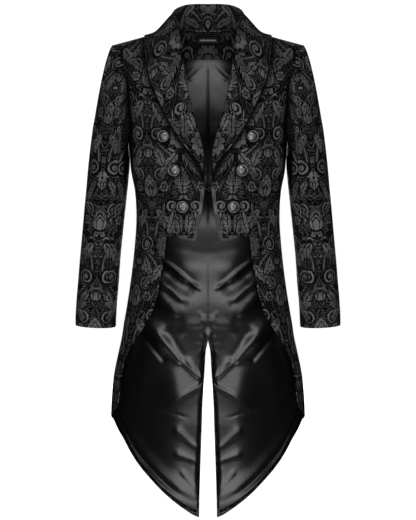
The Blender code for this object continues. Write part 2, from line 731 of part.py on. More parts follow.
def collar_surface(rows, stand_steps=3, fold_steps=5, leaf_steps=6):
    """Middle of the collar: up the stand, round the fold and down the leaf, for each row."""
    controls = collar_controls()
    stations = len(controls)
    table = np.concatenate([np.arange(stations)[:, None], controls.reshape(stations, -1)], 1)
    grid = []
    for at in np.linspace(0, stations - 1, rows):
        base, roll, belly, edge = spline(table, np.array(at)).reshape(4, 3)
        radius = roll_radius(at / (stations - 1))
        up = (roll - base) / np.linalg.norm(roll - base)
        out = np.array((base[0] + 1e-6, base[1] - NECK_AXIS_Y, 0.0))
        out = out - up * (out @ up)
        out = out / np.linalg.norm(out)
        foot = base + up * FOOT_LIFT
        centre = roll - up * radius + out * radius
        turn = np.radians(np.linspace(0, 180, fold_steps))[:, None]
        fold = centre - out * radius * np.cos(turn) + up * radius * np.sin(turn)
        stand = blend(foot, fold[0], np.linspace(0, 1, stand_steps)[:-1, None])
        u = np.linspace(0, 1, leaf_steps)[1:, None]
        leaf = (1 - u) ** 2 * fold[-1] + 2 * u * (1 - u) * belly + u * u * edge
        leaf = np.array([over_body(p, LEAF_LIFT) for p in leaf])
        grid.append(np.concatenate([stand, fold, leaf]))
    return np.array(grid)


def build_collar():
    """Shawl collar in two halves that meet at the centre back: stand, fold, and a leaf that becomes the lapel."""
    middle = collar_surface(26)
    middle[0, :, 0] = SEAM_GAP / 2
    mirrored = np.concatenate([middle[1:2] * (-1, 1, 1), middle])
    along = np.gradient(mirrored, axis=0)[1:]
    over = np.gradient(middle, axis=1)
    normal = np.cross(over, along)
    normal = normal / np.linalg.norm(normal, axis=-1, keepdims=True)
    pair("collar", middle + normal * COLLAR / 2, middle - normal * COLLAR / 2, "brocade", BLACK_BROCADE)


def build_buttons():
    """Domed metal buttons on both fronts, each on its shank over the cloth."""
    for number, (x, z) in enumerate(BUTTONS * MM, 1):
        place, normal = front_place(x, z)
        for side, sign in (("left", 1), ("right", -1)):
            shape = bmesh.new()
            points = [shape.verts.new((radius * MM, 0, height * MM)) for radius, height in BUTTON_PROFILE]
            edges = [shape.edges.new(two) for two in zip(points, points[1:])]
            bmesh.ops.spin(
                shape,
                geom=points + edges,
                cent=(0, 0, 0),
                axis=(0, 0, 1),
                angle=2 * math.pi,
                steps=BUTTON_SEGMENTS,
                use_duplicate=False,
            )
            bmesh.ops.remove_doubles(shape, verts=shape.verts, dist=0.00001)
            bmesh.ops.recalc_face_normals(shape, faces=shape.faces)
            mesh = bpy.data.meshes.new(f"button_{number}_{side}")
            shape.to_mesh(mesh)
            shape.free()
            mesh.materials.append(material("button", OLD_SILVER))
            mesh.shade_smooth()
            mesh.set_sharp_from_angle(angle=math.radians(40))
            button = bpy.data.objects.new(mesh.name, mesh)
            facing = Vector((sign * normal[0], normal[1], normal[2]))
            turn = facing.to_track_quat("Z", "Y").to_matrix().to_4x4()
            button.matrix_world = Matrix.Translation((sign * place[0], place[1], place[2])) @ turn
            garment.objects.link(button)


def wire(name, path, closed=False):
    """Bent round wire along a path of points."""
    path = np.asarray(path)
    if closed:
        ahead = np.roll(path, -1, 0) - np.roll(path, 1, 0)
    else:
        ahead = np.gradient(path, axis=0)
    ahead = ahead / np.linalg.norm(ahead, axis=1, keepdims=True)
    side = np.cross(ahead, WIRE_PLANE_NORMAL[name])
    turns = np.radians(np.arange(WIRE_SIDES) * 360 / WIRE_SIDES)[None, :, None]
    around = side[:, None] * np.cos(turns) + np.array(WIRE_PLANE_NORMAL[name]) * np.sin(turns)
    points = path[:, None] + around * WIRE_RADIUS
    rings = len(path)
    number = np.arange(rings * WIRE_SIDES).reshape(rings, WIRE_SIDES)
    last = rings if closed else rings - 1
    here, there = number[np.arange(last)], number[(np.arange(last) + 1) % rings]
    quads = np.stack([here, there, np.roll(there, -1, 1), np.roll(here, -1, 1)], -1).reshape(-1, 4).tolist()
    caps = [] if closed else [number[0].tolist(), number[-1, ::-1].tolist()]
    add_mesh(name, points.reshape(-1, 3), quads + caps, "wire", DARK_WIRE)


def build_hook_and_eye():
    """Hook on the right front's edge, caught round the eye on the left front's edge."""
    left_edge = body(front_edge_turn(np.array([CLOSURE - ARMPIT])), np.array([CLOSURE - ARMPIT]))[0]
    plane_y = left_edge[1] + SHELL / 2
    eye_x = left_edge[0] - SEAM_GAP - WIRE_RADIUS - EYE_RADIUS
    ring_turns = np.radians(np.arange(0, 360, 22.5))
    eye = [(eye_x + EYE_RADIUS * math.cos(a), plane_y, CLOSURE + EYE_RADIUS * math.sin(a)) for a in ring_turns]
    wire("eye", eye, closed=True)
    caught_x = eye_x - EYE_RADIUS
    reach = 1.7 * MM
    start = (-left_edge[0] + SEAM_GAP, plane_y - reach, CLOSURE)
    bend = np.radians(np.linspace(-90, 90, 7))
    hook_turn = [(caught_x + reach * math.cos(a), plane_y + reach * math.sin(a), CLOSURE) for a in bend]
    hook_end = (caught_x - 2.2 * MM, plane_y + reach, CLOSURE)
    wire("hook", [start, *hook_turn, hook_end])


for old in list(bpy.data.objects):
    bpy.data.objects.remove(old)
garment = bpy.data.collections.new("tailcoat")
bpy.context.scene.collection.children.link(garment)
SKIN = body_skin()
ARMHOLE = armhole_line()

build_forepart()
build_side()
build_skirt()
build_back()
build_back_lining()
build_side_lining()
build_skirt_lining()
build_neck_facing()
build_label()
build_sleeves()
build_collar()
build_buttons()
build_hook_and_eye()
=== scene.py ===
"""Tailcoat in black damask with a black satin lining, filled out as worn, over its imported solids.

Every cloth piece is a surface of two parameters worked out as whole arrays. The body is one smooth surface read
at a turn (0 at the centre back, 180 at the centre front) and a level (metres from the armpit when negative,
and 0 to 1 over the chest or back up to the shoulder seam and neck edge when positive). Lengths in tables are
millimetres and angles are degrees. +Z is up, the fronts face -Y, and +X is the wearer's left.
"""

import math

import bmesh
import bpy
import numpy as np
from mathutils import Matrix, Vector
from mathutils.bvhtree import BVHTree


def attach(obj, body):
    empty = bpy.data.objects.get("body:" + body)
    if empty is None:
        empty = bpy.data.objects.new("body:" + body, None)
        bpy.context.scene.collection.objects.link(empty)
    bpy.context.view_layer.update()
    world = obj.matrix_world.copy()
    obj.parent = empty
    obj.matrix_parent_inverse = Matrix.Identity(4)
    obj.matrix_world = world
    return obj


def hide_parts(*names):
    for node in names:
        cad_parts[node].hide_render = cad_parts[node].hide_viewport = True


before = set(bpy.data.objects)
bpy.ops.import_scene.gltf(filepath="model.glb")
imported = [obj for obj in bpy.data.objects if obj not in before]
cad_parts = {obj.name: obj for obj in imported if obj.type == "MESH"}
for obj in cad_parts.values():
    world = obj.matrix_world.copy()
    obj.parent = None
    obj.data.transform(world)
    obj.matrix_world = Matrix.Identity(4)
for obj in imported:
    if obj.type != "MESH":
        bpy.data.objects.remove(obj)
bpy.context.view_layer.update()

MM = 0.001

# Cloth
SHELL = 1.7 * MM
LINING = 1.0 * MM
COLLAR = 2.0 * MM
LABEL = 0.8 * MM
SEAM_GAP = 0.02 * MM
LAYER_GAP = 2.0 * MM
SEAM_DIP = 0.7 * MM
SEAM_DIP_REACH = 1.6 * MM
# Depth of each layer's outer face under the body's surface, and the layer's thickness
OUTSIDE = (0, SHELL)
INSIDE = (SHELL + LAYER_GAP, LINING)

# Body
ARMPIT = -215 * MM
SQUARE = 2 / 2.35
NECK_HALF_WIDTH = 72 * MM
NECK_BACK_Y = 76 * MM
NECK_BACK_Z = 14 * MM
NECK_POINT = (72 * MM, 8 * MM, 18 * MM)
SHOULDER_TIP = (211.5 * MM, 2 * MM, -20 * MM)
FRONT_SEAM_TURN = 108.0
BACK_SEAM_TURN = 66.0
FRONT_NECK_TURN = 150.0
BACK_NECK_TURN = 30.0
ARMHOLE_DIP = 17 * MM
WAIST_SEAM = -441 * MM
VENT_TOP = -700 * MM
SKIRT_FOOT = -834 * MM
LINING_MARGIN = 7 * MM
LINING_RISE = 9 * MM
SEAM_LEVEL = 0.9988
FACING_DROP = -44 * MM
# Height that a panel's rows start from, before its foot is found
FIRST_FOOT = -900 * MM

RINGS = np.array([
    # height, half_width, front_depth, back_depth, centre_y
    (-1130, 216, 86, 129, 32),
    (-1000, 220, 90, 130, 29),
    (-900, 222, 96, 132, 25),
    (-835, 221.5, 104, 134, 20),
    (-775, 217, 112, 136, 15),
    (-706, 204.5, 118, 138, 10),
    (-635, 189, 122, 138, 6),
    (-570, 177.5, 123, 131, 2),
    (-500, 168, 121, 118, 0),
    (-455, 163.5, 118, 106, 0),
    (-420, 161, 115, 100, 0),
    (-380, 161, 115, 101, 0),
    (-342, 164, 117, 107, 0),
    (-300, 172, 121, 117, 0),
    (-250, 175.5, 122.5, 126, 0),
    (-215, 178, 122, 128, 0),
])

SIDE_BACK_SEAM = np.array([
    # height, turn
    (-1130, 46),
    (-800, 46),
    (-600, 47),
    (-450, 48),
    (-380, 50.5),
    (-300, 57),
    (-215, 66),
])

CUTAWAY = np.array([
    # height, turn of the skirt's and tail's edge
    (-1128, 3.9),
    (-1125, 5.7),
    (-1110, 11.3),
    (-1085, 19.5),
    (-1059, 27.2),
    (-1034, 34.0),
    (-1008, 41.4),
    (-981, 48.5),
    (-954, 54.7),
    (-927, 60.6),
    (-900, 67.7),
    (-877, 74.5),
    (-864, 84.0),
    (-854, 95.0),
    (-844, 104.7),
    (-832, 112.0),
    (-814, 116.2),
    (-778, 117.0),
    (-743, 117.4),
    (-712, 119.0),
    (-682, 125.3),
    (-636, 135.8),
    (-602, 141.8),
    (-570, 144.5),
    (-536, 146.0),
    (-496, 147.9),
    (-441, 149.5),
])

FRONT_EDGE = np.array([
    # height, half of the opening between the fronts
    (-452, 33.0),
    (-446, 26.0),
    (-429, 21.0),
    (-409, 17.0),
    (-389, 13.4),
    (-362, 9.5),
    (-340, 7.8),
    (-316, 8.2),
    (-291, 9.8),
    (-266, 13.0),
    (-242, 17.5),
    (-224, 22.0),
    (-198, 29.0),
    (-175, 35.3),
    (-153, 41.5),
    (-129, 47.0),
    (-100, 51.5),
    (-56, 58.5),
    (-19, 64.5),
    (22, 72.0),
])

VENT_EDGE = np.array([
    # height, half of the gap between the tails
    (-1130, 21.2),
    (-1061, 19.8),
    (-988, 17.4),
    (-915, 14.8),
    (-843, 12.2),
    (-795, 9.3),
    (-758, 7.2),
    (-722, 4.6),
    (-700, 0.0),
    (-640, 0.0),
])

FRONT_HEM = np.array([
    # distance from the centre, how far the front hem drops below the waist seam
    (20, 9.5),
    (42, 8.0),
    (60, 4.0),
    (77, 0.5),
    (92, 0.0),
    (120, 0.0),
])

BODY_FOLDS = np.array([
    # turn and height of each end, half width, depth outwards
    (8, -1120, 16, -760, 36, 4.5),
    (42, -1040, 38, -760, 48, -2.4),
    (74, -940, 68, -700, 48, 3.0),
    (100, -880, 92, -640, 36, -3.0),
    (44, -505, 6, -575, 22, -3.0),
    (50, -590, 14, -690, 24, -3.0),
])

SLEEVE_RINGS = np.array([
    # height, centre_x, centre_y, half_width, half_depth
    (-660, 252.4, -22, 45.4, 51),
    (-646, 251.8, -21, 45.4, 51),
    (-590, 249.2, -16, 45.4, 52),
    (-545, 245.4, -11, 45.7, 53.5),
    (-500, 242.3, -6, 45.2, 55),
    (-432, 236.1, 1, 45.4, 58),
    (-365, 229.3, 3, 46.0, 61),
    (-300, 222.3, 2, 46.0, 64),
])
SLEEVE_TOP_RING = -300 * MM
CUFF = -645 * MM
CUFF_TILT = 0.05
UPPER_SLEEVE_TURN = 118.0
SLEEVE_SQUARE = 0.92

NECK_STATIONS = np.array([
    # turn at the neck edge, roll x y z, belly x y z, leaf edge x y z
    (0, 0, 86, 80, 0, 108, 34, 0, 101, -6),
    (10, 35, 79, 79, 58, 112, 34, 66, 95, -5),
    (20, 57, 55, 71, 106, 84, 38, 116, 62, -6),
    (30, 71, 17, 57, 107, 14, 6, 139, 6, 0),
])
LAPEL_STATIONS = np.array([
    # height on the front edge, roll x z, stand-off of the roll, leaf edge x z, lift of the belly
    (8, 70.0, 42, 18, 138.5, -14, 8),
    (-8, 66.5, 18, 8, 135.5, -36, 9),
    (-26, 61.5, -9, 3, 129.5, -66, 9),
    (-48, 56.0, -40, 1, 123.7, -95, 7),
    (-82, 50.0, -78, 1, 113.7, -122, 6),
    (-120, 43.8, -118, 1, 101.0, -153, 6),
    (-157, 36.0, -156, 1, 86.0, -183, 6),
    (-193, 25.8, -193, 1, 68.0, -215, 5),
    (-231, 15.6, -231, 1, 45.0, -249, 4),
    (-267, 8.2, -267, 1, 24.5, -275, 3),
    (-297, 4.4, -297, 1, 13.0, -299, 2),
    (-318, 3.0, -318, 1, 9.5, -318, 1),
])
NECK_AXIS_Y = 10 * MM
ROLL_RADIUS_NECK = 4.0 * MM
ROLL_RADIUS_LAPEL = 3.0 * MM
ROLL_RADIUS_TIP = 2.2 * MM
# Column of the collar's finer grid where its fold ends and its leaf begins
LEAF_COLUMN = 18
LEAF_LIFT = 3.0 * MM
FOOT_LIFT = 1.9 * MM

BUTTONS = np.array([
    # distance from the centre, height
    (95.7, -223.7),
    (72.8, -297.1),
    (54.6, -376.3),
])
BUTTON_PROFILE = np.array([
    # share of the way from the crown to the shank, radius, height over the cloth
    (0.00, 0.0, 8.3),
    (0.10, 3.0, 8.1),
    (0.22, 6.4, 7.2),
    (0.34, 9.6, 5.3),
    (0.38, 10.3, 4.7),
    (0.43, 10.9, 5.1),
    (0.50, 12.0, 5.2),
    (0.57, 12.7, 4.4),
    (0.64, 12.3, 3.5),
    (0.72, 9.0, 3.0),
    (0.80, 3.6, 2.8),
    (0.86, 2.8, 2.2),
    (1.00, 2.6, 0.5),
])

CLOSURE = -338 * MM
EYE_RADIUS = 3.6 * MM
WIRE_RADIUS = 0.55 * MM

LABEL_HALF_WIDTH = 26 * MM
LABEL_TOP = 9 * MM
LABEL_BOTTOM = -6 * MM
LABEL_MIDDLE = 1.5

# Creases of the satin, seen from the front: they are drawn on the lining's inner side
SATIN_CREASES = np.array([
    # x and height of each end, width at each end, how much softer the lower side is, lift inwards at each end
    (108, -508, 23, -574, 6, 2.4, 1.5, -4.2, -2.0),
    (88, -546, 40, -586, 16, 11, 1.0, 1.5, 0.8),
    (71, -543, 54, -557, 4, 3, 1.2, -0.8, -0.5),
    (120, -549, 66, -600, 13, 6, 1.3, -3.4, -1.2),
    (96, -580, 58, -612, 13, 10, 1.0, 1.2, 0.8),
    (124, -586, 80, -636, 14, 7, 1.3, -3.4, -1.3),
    (100, -616, 66, -654, 13, 10, 1.0, 1.2, 0.6),
    (150, -650, 70, -744, 17, 8, 1.2, -4.4, -2.6),
    (158, -680, 108, -742, 7, 6, 1.0, 3.4, 2.2),
    (100, -676, 60, -742, 12, 10, 1.0, 1.6, 1.2),
    (68, -748, 22, -790, 3, 2.4, 1.3, -1.2, -1.6),
    (50, -748, 24, -784, 8, 4, 1.0, -1.8, -2.0),
    (16, -806, 98, -854, 2.6, 7, 1.6, -2.2, -0.7),
    (105, -668, 12, -660, 9, 8, 1.6, -1.1, -0.8),
    (119, -862, 45, -886, 1.6, 1.6, 1.0, 0.9, 0.6),
    (74, -920, 33, -955, 9, 5, 1.4, -1.5, -1.0),
    (74, -974, 28, -991, 8, 4, 1.2, -1.3, -0.8),
    (61, -1020, 28, -1061, 6, 4, 1.2, -1.2, -0.7),
    (17, -690, 12, -736, 1.8, 1.8, 1.0, -1.3, -1.0),
    (24, -706, 16, -764, 2.0, 1.6, 1.0, -1.1, -0.9),
    (13, -640, 9, -672, 2.2, 1.6, 1.0, -1.4, -1.0),
    (20, -632, 17, -652, 2.0, 1.6, 1.0, -1.0, -0.8),
    (17, -800, 24, -846, 2.2, 2.4, 1.0, -0.9, -0.6),
    (22, -900, 27, -960, 2.6, 2.4, 1.0, -0.8, -0.6),
    (31, -1010, 27, -1060, 2.6, 2.4, 1.0, -0.8, -0.6),
    (150, -560, 160, -840, 10, 14, 1.0, -0.5, -0.8),
    (178, -560, 186, -830, 10, 12, 1.0, -0.4, -0.6),
    (40, -88, 13, -62, 3.2, 2.4, 1.6, -1.0, -0.7),
    (48, -78, 30, -60, 3.2, 2.4, 1.4, -0.7, -0.4),
    (62, -340, 20, -372, 8, 7, 1.3, -1.2, -0.6),
])

SLEEVE_CREASES = np.array([
    # turn and height of each end, half width, depth outwards
    (64, -150, 100, -250, 9, -1.6),
    (40, -110, 70, -230, 12, 1.2),
    (96, -330, 40, -372, 8, -1.7),
    (100, -372, 52, -384, 7, -1.4),
    (104, -352, 30, -350, 9, 1.0),
    (70, -420, 20, -470, 10, -1.2),
    (100, -470, 60, -560, 10, -1.0),
    (-30, -330, -95, -360, 9, -1.5),
    (-40, -200, -90, -300, 12, -1.2),
    (-50, -420, -96, -400, 8, -1.2),
    (0, -180, -10, -330, 16, 1.0),
    (-60, -500, -30, -600, 12, -0.9),
    (30, -560, 20, -636, 12, 0.8),
])

# How far an arm edge reaches under its sleeve, and how far the lapel's edge springs off the chest
ARM_TUCK = 3.6 * MM
LAPEL_SPRING = 5.0 * MM
# How far the lapel's shade reaches over the front
LAPEL_SHADE = 11 * MM
# Edge marks: mm from the front's edge, a value below zero where cloth turns over at its end and is painted in
# shade, and NO_EDGE elsewhere
SHADED_TURN = -3.0
TURNED_STEP = 1.6 * MM
NO_EDGE = 99
# Heights in mm between which the satin leans a little under the fronts, where it mirrors less light
LEAN_FOOT, LEAN_HEAD = -490.0, -418.0

SIDES = (("left", 1), ("right", -1))
# Order of a cell's corners that faces it the other way
OTHER_WAY = [0, 3, 2, 1]

# Focal length and height of the view, in its own pixels
VIEW_LENGTH = 1425.73
VIEW_HEIGHT = 520
FLOOR = -1.32
LIGHTS = (
    # name, place, aim, width and height, power
    ("key", (0.0, -2.6, 2.2), (0, 0, -0.4), (1.8, 0.8), 26),
    ("front", (0.0, -1.5, -0.53), (0, 0, -0.15), (1.3, 0.33), 4.1),
    ("low", (0.0, -2.2, -2.05), (0, 0, -0.6), (1.9, 0.8), 14.5),
    ("left", (2.5, -3.0, 0.5), (0, 0, -0.4), (1.2, 1.4), 17.5),
    ("right", (-2.5, -3.0, 0.5), (0, 0, -0.4), (1.2, 1.4), 17.5),
    ("behind", (0.0, 3.6, -0.5), (0, 0, -0.5), (1.8, 1.4), 75),
)


def spline(table, at):
    """Smooth curve through a table's rows: cubic pieces whose slope at a row is the mean of its two sides."""
    knots, values = table[:, 0], table[:, 1:]
    at = np.asarray(at, float)
    slopes = np.gradient(values, knots, axis=0)
    i = np.clip(np.searchsorted(knots, at) - 1, 0, len(knots) - 2)
    span = (knots[i + 1] - knots[i])[..., None]
    u = np.clip((at[..., None] - knots[i][..., None]) / span, 0, 1)
    start, end = values[i], values[i + 1]
    rise = (2 * u - 3) * u * u
    curve = start * (1 + rise) - end * rise
    return curve + span * (slopes[i] * u * (u - 1) ** 2 + slopes[i + 1] * u * u * (u - 1))


def by_height(table, height):
    """A millimetre table read at a height in metres, in metres."""
    return spline(table, np.asarray(height) / MM) * MM


def turn_table(table, height):
    """A table of angles read at a height in metres."""
    return spline(table, np.asarray(height) / MM)[..., 0]


def blend(a, b, share):
    """The value that lies the given share of the way from a to b."""
    return a + (b - a) * share


def smooth_step(x):
    """Rise from 0 to 1 that starts and ends level."""
    x = np.clip(x, 0, 1)
    return x * x * (3 - 2 * x)


def bell(x, width, centre=0.0):
    """Bell curve of height 1."""
    return np.exp(-(((x - centre) / width) ** 2))


def signed_power(value, power):
    """The power of a number's size, with its sign."""
    return np.sign(value) * np.abs(value) ** power


def read_rows(at, knots, rows):
    """Straight-line reading of rows of three numbers."""
    return np.stack([np.interp(at, knots, rows[:, k]) for k in range(3)], -1)


def nearest_on_line(across, up, start_across, start_up, run, climb):
    """A line's nearest point, as a share of the way along it, and the distance to it."""
    aside, above = across - start_across, up - start_up
    share = np.clip((aside * run + above * climb) / (run * run + climb * climb), 0, 1)
    return share, np.hypot(aside - share * run, above - share * climb)


def along_lines(turn, up, lines, scale):
    """Sum of soft ridges along lines, fading out at both ends, with scale mm drawn to a degree of turn."""
    across = turn * scale
    depth = np.zeros(np.broadcast(across, up).shape)
    for start_turn, start_up, end_turn, end_up, width, lift in lines:
        start, run, climb = start_turn * scale, (end_turn - start_turn) * scale, end_up - start_up
        nearest, gap = nearest_on_line(across, up, start, start_up, run, climb)
        fade = smooth_step(2.2 * (1 - abs(2 * nearest - 1)) + 0.2)
        depth = depth + lift * bell(gap, width) * fade
    return depth * MM


def ring(turn, height):
    """Body below the armpit: squared ovals whose width, front and back depths vary with height."""
    half, front, back, centre = np.moveaxis(by_height(RINGS, height), -1, 0)
    sine, cosine = np.sin(np.radians(turn)), np.cos(np.radians(turn))
    fold = along_lines(np.abs(turn), np.asarray(height) / MM, BODY_FOLDS, 3.3)
    x = (half + fold) * signed_power(sine, SQUARE)
    y = centre + (np.where(cosine > 0, back, front) + fold) * signed_power(cosine, SQUARE)
    return np.stack(np.broadcast_arrays(x, y, height), -1)


def top_line(turn):
    """Shoulder seam, and the neck edge of the back, at each turn."""
    turn = np.asarray(turn, float)[..., None]
    tip, neck = np.array(SHOULDER_TIP), np.array(NECK_POINT)
    front = blend(tip, neck, (turn - FRONT_SEAM_TURN) / (FRONT_NECK_TURN - FRONT_SEAM_TURN))
    back = blend(tip, neck, (BACK_SEAM_TURN - turn) / (BACK_SEAM_TURN - BACK_NECK_TURN))
    quarter = np.radians(90 * turn[..., 0] / BACK_NECK_TURN)
    neck_y = NECK_POINT[1] + (NECK_BACK_Y - NECK_POINT[1]) * np.cos(quarter)
    neck_z = NECK_POINT[2] + (NECK_BACK_Z - NECK_POINT[2]) * np.cos(quarter)
    neck_edge = np.stack([NECK_HALF_WIDTH * np.sin(quarter), neck_y, neck_z], -1)
    return np.where(turn > 90, front, np.where(turn > BACK_NECK_TURN, back, neck_edge))


def arch_power(turn):
    """How square the arch over the shoulder is: fuller beside the armhole than beside the neck."""
    front = (turn - FRONT_SEAM_TURN) / (FRONT_NECK_TURN - FRONT_SEAM_TURN)
    back = (BACK_SEAM_TURN - turn) / (BACK_SEAM_TURN - BACK_NECK_TURN)
    return blend(3.0, 2.2, np.clip(np.where(turn > 90, front, back), 0, 1))


def arch(turn, rise):
    """Body above the armpit: from the armpit's oval over the chest or back to the top line."""
    base, top = ring(turn, np.full(np.shape(turn), ARMPIT)), top_line(turn)
    quarter = np.radians(90 * np.clip(rise, 0, 1))
    up = np.sin(quarter) ** (2 / arch_power(turn))
    x = blend(base[..., 0], top[..., 0], 0.25 * up + 0.75 * up**5)
    y = blend(top[..., 1], base[..., 1], np.cos(quarter))
    return np.stack([x, y, blend(base[..., 2], top[..., 2], up)], -1)


def body(turn, level):
    """Outer surface of the coat's body."""
    turn, level = np.broadcast_arrays(np.asarray(turn, float), np.asarray(level, float))
    low = ring(turn, ARMPIT + np.minimum(level, 0))
    return np.where((level > 0)[..., None], arch(turn, level), low)


def body_normal(turn, level):
    """Outward direction of the body's surface, from its slopes round and up."""
    turn, level = np.broadcast_arrays(np.asarray(turn, float), np.asarray(level, float))
    round_step, up_step = 0.3, 0.002
    upper = np.minimum(level + up_step, 0.999)
    around = body(turn + round_step, level) - body(turn - round_step, level)
    upward = body(turn, upper) - body(turn, upper - 2 * up_step)
    normal = np.cross(upward, around)
    return normal / np.linalg.norm(normal, axis=-1, keepdims=True)


def level_at(turn, height):
    """Level above the armpit whose point on that turn's arch has the height."""
    share = (height - ARMPIT) / (top_line(turn)[..., 2] - ARMPIT)
    return np.degrees(np.arcsin(np.clip(share, 0, 1) ** (arch_power(turn) / 2))) / 90


def turn_where(wanted_x, level, low, high):
    """Turn between low and high where the body is wanted_x(height) from the centre, by halving."""
    low, high = np.full(np.shape(level), float(low)), np.full(np.shape(level), float(high))
    for _ in range(40):
        middle = (low + high) / 2
        place = body(middle, level)
        too_wide = place[..., 0] > wanted_x(place[..., 2])
        rising = body(high, level)[..., 0] > body(low, level)[..., 0]
        low = np.where(too_wide == rising, low, middle)
        high = np.where(too_wide == rising, middle, high)
    return (low + high) / 2


def height_of(level):
    """Height of a level below the armpit."""
    return ARMPIT + np.minimum(level, 0)


LEVELS = np.concatenate([np.linspace(-0.93, 0, 700), np.linspace(0, 0.9999, 400)[1:]])
FRONT_TURNS = turn_where(lambda z: by_height(FRONT_EDGE, z)[..., 0], LEVELS, FRONT_NECK_TURN, 179.9)
VENT_TURNS = turn_where(lambda z: by_height(VENT_EDGE, z)[..., 0], LEVELS, 0, 30)


def front_edge_turn(level):
    """Turn of the forepart's inner edge: the fold of the lapel, then the open front."""
    return np.interp(level, LEVELS, FRONT_TURNS)


def vent_turn(level):
    """Turn of the centre back seam, and of the tail's vent edge below it."""
    return np.interp(level, LEVELS, VENT_TURNS)


def cutaway_turn(level):
    """Turn of the skirt's and the tail's cut-away edge."""
    return turn_table(CUTAWAY, height_of(level))


def side_back_turn(level):
    """Turn of the seam between the back and the side."""
    return turn_table(SIDE_BACK_SEAM, height_of(level))


def edge_height(turn):
    """Height of the cut-away edge at each turn."""
    return spline(CUTAWAY[:, ::-1], turn)[..., 0] * MM


def degrees_for(distance, turn, level):
    """How many degrees of turn a distance along the cloth takes there."""
    step = 0.4
    length = np.linalg.norm(body(turn + step, level) - body(turn - step, level), axis=-1)
    return distance * 2 * step / length


def steady(turn):
    """An edge that keeps one turn at every level."""
    return lambda levels: np.full(np.shape(levels), float(turn))


def shares(steps, width):
    """Even steps from 0 to 1 with two close ones at each end, 1 and 2.6 mm in, for a soft seam edge."""
    near = np.array((1.0, 2.6)) * MM / width
    inner = np.linspace(0, 1, steps)[1:-1]
    inner = inner[(inner > near[1] * 1.4) & (inner < 1 - near[1] * 1.4)]
    return np.concatenate([[0], near, inner, (1 - near)[::-1], [1]])


def spread_turns(start, end, levels, columns, gaps):
    """Turns of a grid's columns at each level, between two edges drawn in by their seam gaps."""
    low, high = start(levels), end(levels)
    low = low + degrees_for(gaps[0], low, levels)
    high = high - degrees_for(gaps[1], high, levels)
    return blend(low, high, columns[None, :])


def panel(start, end, foot, head, columns, rows, gaps=(SEAM_GAP / 2, SEAM_GAP / 2)):
    """Grid below the armpit: columns run between two edges and rows run from a shaped foot to a level head."""
    share = rows[:, None]
    levels = np.broadcast_to(blend(FIRST_FOOT, head, share) - ARMPIT, (len(rows), len(columns)))
    for _ in range(7):
        turns = spread_turns(start, end, levels, columns, gaps)
        levels = blend(foot(turns[:1]), head, share) - ARMPIT
    return turns, levels


def with_arch(turns, levels, start, end, columns, rows, gaps=(SEAM_GAP / 2, SEAM_GAP / 2)):
    """The same grid carried on over the chest or the back, up to its last level."""
    upper = np.broadcast_to(rows[:, None], (len(rows), len(columns)))
    upper_turns = spread_turns(start, end, upper, columns, gaps)
    return np.concatenate([turns, upper_turns]), np.concatenate([levels, upper])


def grid_lengths(points):
    """Running lengths along a grid's rows, and along its columns."""
    across = np.linalg.norm(np.diff(points, axis=1), axis=-1)
    up = np.linalg.norm(np.diff(points, axis=0), axis=-1)
    u = np.concatenate([np.zeros((len(points), 1)), np.cumsum(across, 1)], 1)
    v = np.concatenate([np.zeros((1, points.shape[1])), np.cumsum(up, 0)], 0)
    return u, v


BODY_TURNS = np.arange(0, 181.0)
BODY_ROWS = np.concatenate([np.linspace(-0.93, 0, 94), np.linspace(0, 0.998, 40)[1:]])
BODY_NET = body(BODY_TURNS[None, :], BODY_ROWS[:, None])
BODY_ACROSS, BODY_UP = grid_lengths(BODY_NET)
BODY_UP = BODY_UP[:, 60]


def table_read(table, turn, level):
    """Straight-line reading of a table kept on the body net's rows and turns."""
    row = np.interp(level, BODY_ROWS, np.arange(len(BODY_ROWS)))
    i = np.clip(row.astype(int), 0, len(BODY_ROWS) - 2)
    j = np.clip(np.asarray(turn).astype(int), 0, 179)
    u, v = turn - j, row - i
    low = blend(table[i, j], table[i, j + 1], u)
    return blend(low, blend(table[i + 1, j], table[i + 1, j + 1], u), v)


def cloth_place(turn, level, reference):
    """Where a point lies on the flat cloth: distance round from a reference turn, and distance up the body."""
    turn, level = np.broadcast_arrays(turn, level)
    round_here = table_read(BODY_ACROSS, turn, level)
    round_there = table_read(BODY_ACROSS, np.full(turn.shape, float(reference)), level)
    up = np.interp(level, BODY_ROWS, BODY_UP)
    return np.stack([round_here - round_there, up - BODY_UP[-1]], -1)


def grid_quads(number):
    """The four corners of each cell in a grid of point numbers."""
    corners = (number[:-1, :-1], number[:-1, 1:], number[1:, 1:], number[1:, :-1])
    return np.stack(corners, -1).reshape(-1, 4)


def turned_quads(number, closed=False):
    """The cells of rings of points, closed round each ring and, if wanted, from the last ring to the first."""
    if closed:
        number = np.concatenate([number, number[:1]])
    return grid_quads(np.concatenate([number, number[:, :1]], 1))[:, OTHER_WAY]


def new_object(name, data):
    """One object at the origin, in the scene."""
    made = bpy.data.objects.new(name, data)
    bpy.context.scene.collection.objects.link(made)
    return made


def add_mesh(name, points, faces, cloth, face_slots, looks):
    """Smooth object from arrays of points and four-sided faces, with its cloth map."""
    faces = np.asarray(faces, np.int32)
    mesh = bpy.data.meshes.new(name)
    mesh.vertices.add(len(points))
    mesh.vertices.foreach_set("co", np.asarray(points, np.float32).ravel())
    mesh.loops.add(faces.size)
    mesh.loops.foreach_set("vertex_index", faces.ravel())
    mesh.polygons.add(len(faces))
    mesh.polygons.foreach_set("loop_start", np.arange(0, faces.size, 4, dtype=np.int32))
    mesh.polygons.foreach_set("loop_total", np.full(len(faces), 4, np.int32))
    mesh.polygons.foreach_set("material_index", np.asarray(face_slots, np.int32))
    for look in looks:
        mesh.materials.append(LOOKS[look])
    mesh.update(calc_edges=True)
    layer = mesh.uv_layers.new(name="cloth")
    layer.data.foreach_set("uv", np.asarray(cloth, np.float32)[faces.ravel()].ravel())
    mesh.validate()
    mesh.shade_smooth()
    return new_object(name, mesh)


